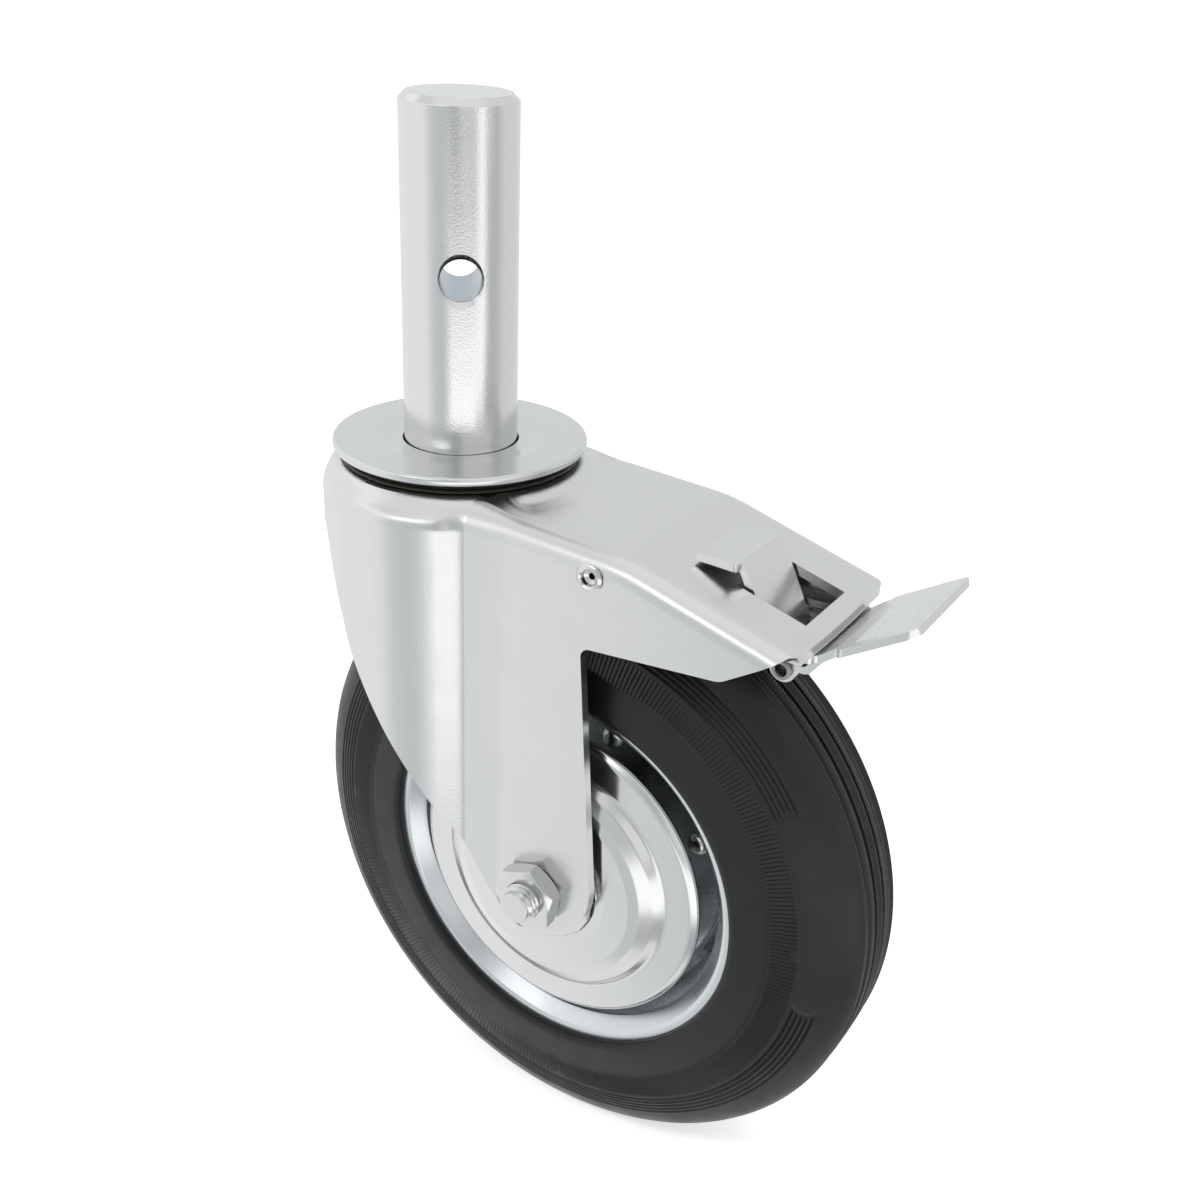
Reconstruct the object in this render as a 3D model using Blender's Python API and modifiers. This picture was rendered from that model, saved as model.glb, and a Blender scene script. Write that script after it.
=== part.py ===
# Scaffold castor: a swivel castor on a solid stem, with a braked rubber wheel.
# Metres, +Z up. The origin is on the swivel axis, in the plane of the head
# washer's top face. +X is the trailing side, where the wheel and pedal lie.
import math

import bmesh
import bpy
from mathutils import Matrix, Vector

MM = 0.001
SEAT_GAP = 0.3 * MM          # clearance between pieces that touch
RUNNING_GAP = 0.6 * MM       # clearance between pieces that move past each other

# Stem with its cross hole and the threaded spigot below it
STEM_RADIUS = 17.2 * MM
STEM_TOP = 101.6 * MM
STEM_CHAMFER = 2 * MM
STEM_SHOULDER = -4.3 * MM
SPIGOT_RADIUS = 10 * MM
THREAD_RADIUS = 8 * MM
THREAD_CHAMFER = 1 * MM
CROSS_HOLE_RADIUS = 6 * MM
CROSS_HOLE_CHAMFER = 1 * MM
CROSS_HOLE_HEIGHT = 51.3 * MM
CROSS_HOLE_AZIMUTH_DEG = 38

# Swivel head
WASHER_RADIUS = 38.75 * MM
WASHER_THICKNESS = 2.8 * MM
WASHER_EDGE_RADIUS = 1.1 * MM
WASHER_DISH_RADIUS = 24 * MM
WASHER_DISH = 0.7 * MM
BALL_RADIUS = 2.5 * MM
UPPER_TRACK_RADIUS = 29 * MM
UPPER_BALL_COUNT = 16
LOWER_TRACK_RADIUS = 20 * MM
LOWER_BALL_COUNT = 12
CAGE_THICKNESS = 0.8 * MM
CAGE_HALF_WIDTH = 2.9 * MM
RACE_GAP = 3.1 * MM
SEAL_OUTER_RADIUS = 37 * MM
SEAL_WIDTH = 2.6 * MM
SEAL_WAIST = 0.5 * MM
CUP_RADIUS = 26.5 * MM
CUP_THICKNESS = 2.7 * MM
CUP_WALL = 1.5 * MM
CUP_LIP = 1.2 * MM
LOCK_RING_RADIUS = 29 * MM
LOCK_RING_ROOT_RADIUS = 25 * MM
LOCK_RING_THICKNESS = 2.4 * MM
LOCK_NOTCH_COUNT = 24
LOCK_NOTCH_WIDTH = 4 * MM
KING_NUT_ACROSS_FLATS = 24 * MM
KING_NUT_HEIGHT = 7 * MM
KING_NUT_CHAMFER = 0.8 * MM

# Fork: one pressed sheet with a round skirt, two cheeks and a sloping hood
FORK_SHEET = 3 * MM
FORK_HALF_WIDTH = 34 * MM
SKIRT_RADIUS = 42 * MM
SKIRT_BLEND_RADIUS = 6 * MM
HOOD_EDGE_RADIUS = 6.5 * MM
CROWN_HEIGHT = -8.2 * MM
HOOD_BEND_X = 79 * MM
HOOD_END_X = 131.3 * MM
HOOD_BEND_DROP = 2.2 * MM
HOOD_END_DROP = 17.2 * MM
BOSS_RADIUS = 38.6 * MM
BOSS_FOOT_RADIUS = 40.9 * MM
BOSS_SHOULDER = 1.4 * MM
CROWN_HOLE_RADIUS = 13.5 * MM
WINDOW_LENGTH = 21.2 * MM
WINDOW_END_ROOM = 5.9 * MM    # from the window to the hood's end
WINDOW_HALF_WIDTH = 12.9 * MM
WINDOW_REAR_X = HOOD_END_X - WINDOW_END_ROOM
WINDOW_FRONT_X = WINDOW_REAR_X - WINDOW_LENGTH

# The cheeks' outline from the side
CHEEK_LOW_X = 111 * MM
CHEEK_LOW_Z = -36.2 * MM
CHEEK_END_Z = -23.5 * MM      # where the slanted lower edge would meet the hood's end
CHEEK_CORNER_RADIUS = 6 * MM
LEG_TOP_X = 67 * MM
LEG_TOP_Z = -39.3 * MM
LEG_TOP_RADIUS = 3 * MM
LEG_END_DROP = 13.4 * MM      # below the axle
LEG_REAR_REACH = 21.2 * MM
LEG_FRONT_REACH = 12 * MM
LEG_END_RADIUS = 19 * MM
LEG_WAIST_REACH = 28 * MM
LEG_WAIST_RISE = 11.6 * MM
CHEEK_SWEEP_X = -10 * MM
CHEEK_SWEEP_Z = -60.5 * MM
CHEEK_SWEEP_RADIUS = 60 * MM
SKIRT_EDGE_X = -26 * MM
SKIRT_EDGE_Z = -25.5 * MM
SKIRT_EDGE_RADIUS = 7 * MM
SKIRT_FRONT_Z = -23 * MM
BEYOND = 20 * MM              # how far a cutter passes the part

# Brake plate, rocking on the hollow rivet
RIVET_X = 69.6 * MM
RIVET_Z = -16.8 * MM
RIVET_RADIUS = 2.7 * MM
RIVET_BORE_RADIUS = 1.9 * MM
RIVET_MOUTH = 0.7 * MM
RIVET_FLANGE_RADIUS = 4.4 * MM
RIVET_FLANGE_THICKNESS = 1.1 * MM
EAR_RADIUS = 3.9 * MM
EAR_ROOM = 3.6 * MM           # between an ear and the cheek beside it
EAR_OUTER_Y = FORK_HALF_WIDTH - FORK_SHEET - EAR_ROOM
EAR_BASE = 9 * MM
BRAKE_SHEET = 2 * MM
BRAKE_BEND_RADIUS = 4 * MM
BRAKE_HALF_WIDTH = 17 * MM
TONGUE_HALF_WIDTH = 12 * MM
TONGUE_TOOTH_WIDTH = 2.6 * MM
TONGUE_BEND_REACH = 22 * MM
TONGUE_SHOULDER_REACH = 14 * MM
SHOE_START_X = 20 * MM
SHOE_START_Z = -15.6 * MM
SHOE_WIDTH_X = 16 * MM
EYE_RADIUS = 3.0 * MM
EYE_LEAD = 8 * MM

# Pedal, turning on the pin in the brake plate's two eyes
PIN_END_ROOM = 8.5 * MM       # from the pin to the hood's end
PIN_BELOW_HOOD = 9 * MM
PEDAL_PIN_X = HOOD_END_X - PIN_END_ROOM
PEDAL_PIN_Z = CROWN_HEIGHT - HOOD_END_DROP - PIN_BELOW_HOOD
PEDAL_PIN_RADIUS = 1.8 * MM
PEDAL_PIN_HEAD_RADIUS = 2.9 * MM
PEDAL_PIN_HEAD = 1.2 * MM
PEDAL_SHEET = 2 * MM
PEDAL_BEND_RADIUS = 2.4 * MM
PEDAL_HALF_WIDTH = 20 * MM
PEDAL_NECK_HALF_WIDTH = 17.8 * MM
PEDAL_NECK_START = 8 * MM
PEDAL_NECK_END = 14.7 * MM
PEDAL_ARM_ROOM = 0.9 * MM     # between the arm and the window's sides
PEDAL_ARM_HALF_WIDTH = WINDOW_HALF_WIDTH - PEDAL_ARM_ROOM
PEDAL_FLANGE_HALF_WIDTH = 14 * MM
PEDAL_FLANGE_REACH = 31.3 * MM
PEDAL_FLANGE_RISE = 22.5 * MM
PEDAL_CREASE_REACH = 18.2 * MM
PEDAL_CREASE_RISE = 21.9 * MM
PEDAL_FOOT_REACH = 6.1 * MM   # the arm's lower bend, in front of the pin
PEDAL_LOOP_REACH = 3.6 * MM   # the loop's second bend, behind the pin
PEDAL_TREAD_X = 9.3 * MM
PEDAL_KNEE_X = 14.5 * MM
PEDAL_KNEE_Z = 8.5 * MM
PEDAL_TIP_X = 36.2 * MM
PEDAL_TIP_Z = 21.4 * MM
PEDAL_TIP_RADIUS = 3 * MM
PEDAL_LUG_RADIUS = 4 * MM
PEDAL_LUG_BASE = 5.2 * MM
CAM_TAB_REACH = 14 * MM

# Wheel: an outer diameter of 200 and a width of 50, set so that the brake clears it
TYRE_RADIUS = 100 * MM
TYRE_HALF_WIDTH = 25 * MM
TREAD_HALF_WIDTH = 9.2 * MM
SHOULDER_DEPTH = 60 * MM
TREAD_GROOVE_DEPTH = 1.6 * MM
TREAD_GROOVE_Y = 3.4 * MM
TREAD_GROOVE_HALF_WIDTH = 1 * MM
TYRE_BEAD_ROUND = 1 * MM
WHEEL_TRAIL = 53 * MM
PIN_TO_TYRE = 16.44 * MM
TYRE_BELOW_CROWN = 19 * MM
WHEEL_DROP = max(
    TYRE_RADIUS + TYRE_BELOW_CROWN - CROWN_HEIGHT,
    math.sqrt((TYRE_RADIUS + PIN_TO_TYRE) ** 2 - (PEDAL_PIN_X - WHEEL_TRAIL) ** 2) - PEDAL_PIN_Z)

# Hub
HUB_END_ROOM = 2 * MM         # between the hub's end and the cheek
HUB_HALF_LENGTH = FORK_HALF_WIDTH - FORK_SHEET - HUB_END_ROOM
HUB_OUTER_RADIUS = 18.5 * MM
HUB_BORE_RADIUS = 15.6 * MM
HUB_CAP_THICKNESS = 1.4 * MM
HUB_CAP_SPIGOT = 2.5 * MM
HUB_CAP_CHAMFER = 0.5 * MM
SLEEVE_RADIUS = 9.8 * MM
ROLLER_RADIUS = 2.4 * MM
ROLLER_END_ROOM = 10 * MM
ROLLER_LENGTH = 2 * (HUB_HALF_LENGTH - ROLLER_END_ROOM)
ROLLER_COUNT = 8
ROLLER_CAGE_WALL = 1.1 * MM
ROLLER_CAGE_END = 3 * MM

# Pressed rim halves and the domed discs that cover the hub
RIM_RADIUS = 62 * MM
RIM_FLANGE_WIDTH = 4.7 * MM
RIM_WELL_DEPTH = 5.7 * MM
RIM_FACE_INSET = 3.6 * MM     # from the tyre's widest part
RIM_SHEET = 2.0 * MM
RIM_WEB_GAP = 0.3 * MM        # from the middle plane to each half's web
RIM_FACE = TYRE_HALF_WIDTH - RIM_FACE_INSET
RIM_LIP_RADIUS = RIM_RADIUS - RIM_FLANGE_WIDTH
RIM_SEAT_RADIUS = RIM_LIP_RADIUS - RIM_WELL_DEPTH
RIM_RIVET_INSET = 9.6 * MM
RIM_RIVET_RADIUS = RIM_SEAT_RADIUS - RIM_RIVET_INSET
RIM_RIVET_SHANK = 2.4 * MM
RIM_RIVET_DOME = 3.6 * MM
RIM_RIVET_HEIGHT = 2.6 * MM
RIM_RIVET_COUNT = 6
RIM_RIVET_FIRST_DEG = 20
DISC_SHEET = 1.4 * MM
DISC_EDGE_ROOM = 1.1 * MM
DISC_RADIUS = RIM_SEAT_RADIUS - DISC_EDGE_ROOM
DISC_FACE_INSET = 0.6 * MM
DISC_FACE = HUB_HALF_LENGTH - DISC_FACE_INSET
DISC_DEPTH = 9.8 * MM

# Axle: an M12 bolt through the sleeve
AXLE_RADIUS = 6 * MM
AXLE_END_CHAMFER = 1.4 * MM
AXLE_STICK_OUT = 10.6 * MM
NUT_ACROSS_FLATS = 19 * MM
NUT_HEIGHT = 7 * MM
NUT_CHAMFER = 1 * MM
BOLT_HEAD_HEIGHT = 7.5 * MM
BOLT_HEAD_CHAMFER = 0.8 * MM
NUT_TURN_DEG = 50

# Numbers of sides round the turned pieces
TYRE_SIDES = 42
FINE_SIDES = 26
MEDIUM_SIDES = 18
SMALL_SIDES = 14
TINY_SIDES = 10

COLLECTION_NAME = "scaffold_castor"


# Scene

def clear_scene():
    for item in list(bpy.data.objects):
        bpy.data.objects.remove(item, do_unlink=True)
    for group in list(bpy.data.collections):
        bpy.data.collections.remove(group)


def new_collection(name):
    group = bpy.data.collections.new(name)
    bpy.context.scene.collection.children.link(group)
    return group


def principled(name, colour, roughness, metallic):
    material = bpy.data.materials.new(name)
    material.use_nodes = True
    shader = material.node_tree.nodes["Principled BSDF"]
    shader.inputs["Base Color"].default_value = (*colour, 1)
    shader.inputs["Roughness"].default_value = roughness
    shader.inputs["Metallic"].default_value = metallic
    return material


def make_materials():
    return {
        "zinc": principled("zinc_plate", (0.72, 0.74, 0.76), 0.3, 1),
        "bright": principled("bright_zinc", (0.78, 0.8, 0.82), 0.22, 1),
        "steel": principled("spring_steel", (0.45, 0.46, 0.47), 0.4, 1),
        "rubber": principled("tyre_rubber", (0.035, 0.035, 0.037), 0.55, 0),
        "seal": principled("black_seal", (0.02, 0.02, 0.02), 0.6, 0),
        "plastic": principled("white_nylon", (0.8, 0.8, 0.78), 0.45, 0),
    }


def empty(name, location, parent=None):
    item = bpy.data.objects.new(name, None)
    item.location = location
    item.empty_display_size = 10 * MM
    item.parent = parent
    PARTS.objects.link(item)
    return item


def add_object(name, mesh, material=None, parent=None, location=(0, 0, 0), rotation=(0, 0, 0)):
    item = bpy.data.objects.new(name, mesh)
    if material is not None:
        item.data.materials.append(material)
    item.location = location
    item.rotation_euler = rotation
    item.parent = parent
    PARTS.objects.link(item)
    return item


def as_cutter(item):
    PARTS.objects.unlink(item)
    CUTTERS.objects.link(item)
    item.hide_render = True
    item.display_type = "WIRE"
    return item


def boolean(item, other, operation="DIFFERENCE"):
    modifier = item.modifiers.new(operation.lower(), "BOOLEAN")
    modifier.operation = operation
    modifier.object = other
    modifier.solver = "EXACT"
    return modifier


# Outlines

def arc(centre, radius, start_deg, end_deg, steps):
    points = []
    for index in range(steps + 1):
        angle = math.radians(start_deg + (end_deg - start_deg) * index / steps)
        points.append((centre[0] + radius * math.cos(angle), centre[1] + radius * math.sin(angle)))
    return points


def fillet(before, corner, after, radius, steps):
    # An arc of the radius that replaces the corner
    corner = Vector(corner)
    to_before = (Vector(before) - corner).normalized()
    to_after = (Vector(after) - corner).normalized()
    half = to_before.angle(to_after) / 2
    centre = corner + (to_before + to_after).normalized() * (radius / math.sin(half))
    start = corner + to_before * (radius / math.tan(half)) - centre
    end = corner + to_after * (radius / math.tan(half)) - centre
    sweep = math.atan2(start.x * end.y - start.y * end.x, start.dot(end))
    points = []
    for index in range(steps + 1):
        turn = Matrix.Rotation(sweep * index / steps, 2)
        points.append(tuple(centre + turn @ start))
    return points


def rounded_outline(corners, steps=5):
    # Corners are (x, y, radius); a radius of 0 keeps the corner sharp
    points = []
    for index, (x, y, radius) in enumerate(corners):
        if radius == 0:
            points.append((x, y))
            continue
        before = corners[index - 1][:2]
        after = corners[(index + 1) % len(corners)][:2]
        points += fillet(before, (x, y), after, radius, steps)
    return points


def strip_outline(line, thickness):
    # The outline of a sheet whose middle follows the line of points
    left, right = [], []
    for index, point in enumerate(line):
        here = Vector(point)
        ahead = Vector(line[min(index + 1, len(line) - 1)]) - here
        behind = here - Vector(line[max(index - 1, 0)])
        ahead = (ahead if ahead.length else behind).normalized()
        behind = (behind if behind.length else ahead).normalized()
        across = (ahead + behind).normalized().orthogonal()
        reach = thickness / 2 / across.dot(ahead.orthogonal())
        left.append(tuple(here + across * reach))
        right.append(tuple(here - across * reach))
    return left + right[::-1]


def smooth_bends(line, radius, steps=4):
    points = [line[0]]
    for index in range(1, len(line) - 1):
        points += fillet(line[index - 1], line[index], line[index + 1], radius, steps)
    return points + [line[-1]]


# Shapes

def turned(name, profile, sides, material=None, parent=None, location=(0, 0, 0),
           rotation=(0, 0, 0), ring=True):
    # Profile points are (radius, height); a ring's outer side runs downwards
    if ring:
        area = sum(a[0] * b[1] - b[0] * a[1] for a, b in zip(profile, profile[1:] + profile[:1]))
        if area > 0:
            profile = profile[::-1]
    mesh = bpy.data.meshes.new(name)
    count = len(profile)
    edges = [(index, index + 1) for index in range(count - 1)]
    if ring:
        edges.append((count - 1, 0))
    mesh.from_pydata([(radius, 0, height) for radius, height in profile], edges, [])
    item = add_object(name, mesh, material, parent, location, rotation)
    screw = item.modifiers.new("turn", "SCREW")
    screw.axis = "Z"
    screw.angle = math.tau
    screw.steps = sides
    screw.render_steps = sides
    screw.use_merge_vertices = True
    screw.merge_threshold = 0.00001
    screw.use_smooth_shade = True
    return item


def flat(name, outline, thickness, material=None, parent=None, location=(0, 0, 0),
         rotation=(0, 0, 0)):
    # A flat outline with a thickness, made a closed mesh
    shape = bmesh.new()
    base = [shape.verts.new((x, y, -thickness / 2)) for x, y in outline]
    bottom = shape.faces.new(base)
    lifted = bmesh.ops.extrude_face_region(shape, geom=[bottom])["geom"]
    tops = [item for item in lifted if isinstance(item, bmesh.types.BMVert)]
    bmesh.ops.translate(shape, verts=tops, vec=(0, 0, thickness))
    if len(shape.faces) == len(outline) + 1:
        shape.faces.new(base)
    bmesh.ops.recalc_face_normals(shape, faces=shape.faces)
    mesh = bpy.data.meshes.new(name)
    shape.to_mesh(mesh)
    shape.free()
    return add_object(name, mesh, material, parent, location, rotation)


def block(name, size, location, parent=None):
    shape = bmesh.new()
    bmesh.ops.create_cube(shape, size=1, matrix=Matrix.Diagonal((*size, 1)))
    mesh = bpy.data.meshes.new(name)
    shape.to_mesh(mesh)
    shape.free()
    return add_object(name, mesh, None, parent, location)


def rod(name, radius, length, location, rotation=(0, 0, 0), sides=SMALL_SIDES, parent=None,
        material=None):
    shape = bmesh.new()
    bmesh.ops.create_cone(shape, cap_ends=True, segments=sides, radius1=radius, radius2=radius,
                          depth=length)
    mesh = bpy.data.meshes.new(name)
    shape.to_mesh(mesh)
    shape.free()
    return add_object(name, mesh, material, parent, location, rotation)


def hexagon_nut(name, across_flats, height, chamfer, bore, material, parent, location, rotation):
    # A hexagon whose corners are cut by a turned cone, with a bore if it has one
    shape = bmesh.new()
    corner_radius = across_flats / math.sqrt(3)
    bmesh.ops.create_cone(shape, cap_ends=True, segments=6, radius1=corner_radius,
                          radius2=corner_radius, depth=height)
    mesh = bpy.data.meshes.new(name)
    shape.to_mesh(mesh)
    shape.free()
    nut = add_object(name, mesh, material, parent, location, rotation)
    half = height / 2
    flat_radius = across_flats / 2 - chamfer / 4
    envelope = turned(name + "_envelope", [
        (0, half), (flat_radius, half), (corner_radius + chamfer, half - chamfer),
        (corner_radius + chamfer, -half + chamfer), (flat_radius, -half), (0, -half)],
        MEDIUM_SIDES, None, parent, location, rotation, ring=False)
    boolean(nut, as_cutter(envelope), "INTERSECT")
    if bore:
        hole = rod(name + "_bore", bore, height * 2, location, rotation, parent=parent)
        boolean(nut, as_cutter(hole))
    return nut


AXLE_TURN = (math.pi / 2, 0, 0)   # turns a piece's own +Z to -Y, the near side
FAR_TURN = (-math.pi / 2, 0, 0)   # turns it to +Y, the far side


# Swivel head

def washer_underside():
    return -WASHER_THICKNESS


def boss_top():
    return washer_underside() - RACE_GAP


def track(radius, depth_side, face, steps=3):
    # A ball groove in a flat face, outwards; depth_side is +1 for a groove cut upwards
    groove = BALL_RADIUS + SEAT_GAP
    offset = RACE_GAP / 2
    half = math.degrees(math.acos(offset / groove))
    centre = (radius, face - depth_side * offset)
    return arc(centre, groove, depth_side * (90 + half), depth_side * (90 - half), steps)


def make_stem():
    profile = [
        (0, STEM_TOP), (STEM_RADIUS - STEM_CHAMFER, STEM_TOP),
        (STEM_RADIUS, STEM_TOP - STEM_CHAMFER), (STEM_RADIUS, STEM_SHOULDER),
        (SPIGOT_RADIUS, STEM_SHOULDER), (SPIGOT_RADIUS, cup_top()),
        (THREAD_RADIUS, cup_top()), (THREAD_RADIUS, king_nut_bottom() - 1.2 * MM),
        (THREAD_RADIUS - THREAD_CHAMFER, king_nut_bottom() - 2.2 * MM), (0, king_nut_bottom() - 2.2 * MM)]
    stem = turned("stem", profile, FINE_SIDES, MATERIALS["zinc"], HEAD, ring=False)
    azimuth = math.radians(CROSS_HOLE_AZIMUTH_DEG)
    reach = STEM_RADIUS + 5 * MM
    # The chamfer's cone meets the stem's surface where its radius is the bore's plus the chamfer
    grow = reach - STEM_RADIUS + CROSS_HOLE_CHAMFER
    bore = turned("cross_hole", [
        (0, reach), (CROSS_HOLE_RADIUS + grow, reach), (CROSS_HOLE_RADIUS, reach - grow),
        (CROSS_HOLE_RADIUS, grow - reach), (CROSS_HOLE_RADIUS + grow, -reach), (0, -reach)],
        SMALL_SIDES + 4, None, HEAD, (0, 0, CROSS_HOLE_HEIGHT), (math.pi / 2, 0, azimuth), ring=False)
    boolean(stem, as_cutter(bore))
    return stem


def make_head_washer():
    hole = STEM_RADIUS + SEAT_GAP
    bottom = washer_underside()
    edge = WASHER_EDGE_RADIUS
    rim = WASHER_RADIUS - edge
    profile = [(hole, -WASHER_DISH - 0.6 * MM), (hole + 0.6 * MM, -WASHER_DISH),
               (WASHER_DISH_RADIUS - 2 * MM, -WASHER_DISH), (WASHER_DISH_RADIUS, 0)]
    profile += arc((rim, -edge), edge, 90, 0, 3)
    profile += arc((rim, bottom + edge), edge, 0, -90, 3)
    profile += track(UPPER_TRACK_RADIUS, 1, bottom)[::-1]
    profile += [(hole, bottom)]
    return turned("head_washer", profile, FINE_SIDES, MATERIALS["zinc"], HEAD)


def make_dust_seal():
    top = washer_underside() - SEAT_GAP
    bottom = boss_top() + SEAT_GAP
    outer = SEAL_OUTER_RADIUS
    inner = outer - SEAL_WIDTH
    middle = (top + bottom) / 2
    profile = [(inner, top), (outer, top), (outer - SEAL_WAIST, middle), (outer, bottom), (inner, bottom)]
    return turned("dust_seal", profile, FINE_SIDES, MATERIALS["seal"], HEAD)


def make_ball_cage(name, track_radius, count, height, turn_deg):
    # A punched ring that carries its balls
    half = CAGE_THICKNESS / 2
    ring = turned(name, [
        (track_radius - CAGE_HALF_WIDTH, half), (track_radius + CAGE_HALF_WIDTH, half),
        (track_radius + CAGE_HALF_WIDTH, -half), (track_radius - CAGE_HALF_WIDTH, -half)],
        MEDIUM_SIDES, MATERIALS["steel"], SWIVEL, (0, 0, height))
    shape = bmesh.new()
    for index in range(count):
        angle = math.radians(turn_deg) + math.tau * index / count
        place = Matrix.Rotation(angle, 4, "Z") @ Matrix.Translation((track_radius, 0, 0))
        bmesh.ops.create_icosphere(shape, subdivisions=1, radius=BALL_RADIUS, matrix=place)
    mesh = bpy.data.meshes.new(name + "_balls")
    shape.to_mesh(mesh)
    shape.free()
    balls = as_cutter(add_object(name + "_balls", mesh, None, SWIVEL, (0, 0, height)))
    boolean(ring, balls, "UNION")
    return ring


def boss_underside():
    return boss_top() - FORK_SHEET


def cup_top():
    return boss_underside() - RACE_GAP


def cup_bottom():
    return cup_top() - CUP_THICKNESS


def lock_ring_bottom():
    return cup_bottom() - SEAT_GAP - LOCK_RING_THICKNESS


def king_nut_bottom():
    return lock_ring_bottom() - SEAT_GAP - KING_NUT_HEIGHT


def make_lower_race_cup():
    hole = THREAD_RADIUS + SEAT_GAP
    top, bottom = cup_top() - SEAT_GAP, cup_bottom()
    inner = CUP_RADIUS - CUP_WALL
    profile = [(hole, top)]
    profile += track(LOWER_TRACK_RADIUS, -1, cup_top())
    profile += [(inner, cup_top()), (inner, cup_top() + CUP_LIP), (CUP_RADIUS, cup_top() + CUP_LIP),
                (CUP_RADIUS, bottom), (hole, bottom)]
    return turned("lower_race_cup", profile, FINE_SIDES, MATERIALS["steel"], HEAD)


def make_lock_ring():
    middle = lock_ring_bottom() + LOCK_RING_THICKNESS / 2
    points = []
    for index in range(LOCK_NOTCH_COUNT):
        notch = math.tau * index / LOCK_NOTCH_COUNT
        for radius, side in ((LOCK_RING_RADIUS, -1), (LOCK_RING_ROOT_RADIUS, -1),
                             (LOCK_RING_ROOT_RADIUS, 1), (LOCK_RING_RADIUS, 1)):
            angle = notch + side * math.asin(LOCK_NOTCH_WIDTH / 2 / radius)
            points.append((radius * math.cos(angle), radius * math.sin(angle)))
    ring = flat("swivel_lock_ring", points, LOCK_RING_THICKNESS, MATERIALS["steel"], HEAD,
                (0, 0, middle))
    hole = rod("lock_ring_hole", THREAD_RADIUS + SEAT_GAP, 3 * LOCK_RING_THICKNESS, (0, 0, middle),
               parent=HEAD, sides=FINE_SIDES)
    boolean(ring, as_cutter(hole))
    return ring


def make_king_nut():
    middle = king_nut_bottom() + KING_NUT_HEIGHT / 2
    return hexagon_nut("king_nut", KING_NUT_ACROSS_FLATS, KING_NUT_HEIGHT, KING_NUT_CHAMFER,
                       THREAD_RADIUS + SEAT_GAP, MATERIALS["zinc"], HEAD, (0, 0, middle), (0, 0, 0))


# Fork

def hood_height(x):
    # The height of the hood's top above a place along the fork
    if x <= HOOD_BEND_X:
        start = SKIRT_RADIUS
        share = max(0, (x - start) / (HOOD_BEND_X - start))
        return CROWN_HEIGHT - HOOD_BEND_DROP * share
    share = (x - HOOD_BEND_X) / (HOOD_END_X - HOOD_BEND_X)
    return CROWN_HEIGHT - HOOD_BEND_DROP + (HOOD_BEND_DROP - HOOD_END_DROP) * share


def fork_plan():
    # The outside of the fork seen from above: a round skirt blended into two straight cheeks
    centre_y = FORK_HALF_WIDTH + SKIRT_BLEND_RADIUS
    centre_x = math.sqrt((SKIRT_RADIUS + SKIRT_BLEND_RADIUS) ** 2 - centre_y ** 2)
    meet_deg = math.degrees(math.atan2(centre_y, centre_x))
    blend = arc((centre_x, -centre_y), SKIRT_BLEND_RADIUS, 90, 180 - meet_deg, 3)
    skirt = arc((0, 0), SKIRT_RADIUS, 360 - meet_deg, meet_deg, 26)
    near = [(HOOD_END_X, -FORK_HALF_WIDTH), (HOOD_BEND_X, -FORK_HALF_WIDTH)] + blend[:-1]
    far = [(x, -y) for x, y in reversed(near)]
    return near + skirt + far


def make_fork_shell():
    depth = WHEEL_DROP + LEG_END_DROP + BEYOND
    shape = bmesh.new()
    base = [shape.verts.new((x, y, -depth)) for x, y in fork_plan()]
    bottom = shape.faces.new(base)
    bmesh.ops.recalc_face_normals(shape, faces=[bottom])
    lifted = bmesh.ops.extrude_face_region(shape, geom=[bottom])["geom"]
    tops = [item for item in lifted if isinstance(item, bmesh.types.BMVert)]
    bmesh.ops.translate(shape, verts=tops, vec=(0, 0, depth))
    for x in (SKIRT_RADIUS, HOOD_BEND_X):
        bmesh.ops.bisect_plane(shape, geom=shape.verts[:] + shape.edges[:] + shape.faces[:],
                               plane_co=(x, 0, 0), plane_no=(1, 0, 0), dist=1e-6)
    bmesh.ops.recalc_face_normals(shape, faces=shape.faces)
    for vert in shape.verts:
        if vert.co.z > -depth / 2:
            vert.co.z = hood_height(vert.co.x)
    shape.normal_update()
    open_faces = [face for face in shape.faces if face.normal.z < -0.9 or face.normal.x > 0.9]
    bmesh.ops.delete(shape, geom=open_faces, context="FACES")
    folds = [edge for edge in shape.edges if len(edge.link_faces) == 2
             and max(face.normal.z for face in edge.link_faces) > 0.8
             and min(abs(face.normal.z) for face in edge.link_faces) < 0.2]
    bmesh.ops.bevel(shape, geom=folds, offset=HOOD_EDGE_RADIUS, offset_type="OFFSET", segments=4,
                    profile=0.5, affect="EDGES", material=-1, clamp_overlap=False)
    mesh = bpy.data.meshes.new("fork")
    shape.to_mesh(mesh)
    shape.free()
    fork = add_object("fork", mesh, MATERIALS["zinc"], SWIVEL)
    sheet = fork.modifiers.new("sheet", "SOLIDIFY")
    sheet.thickness = FORK_SHEET
    sheet.offset = -1
    sheet.use_even_offset = True
    return fork


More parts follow.
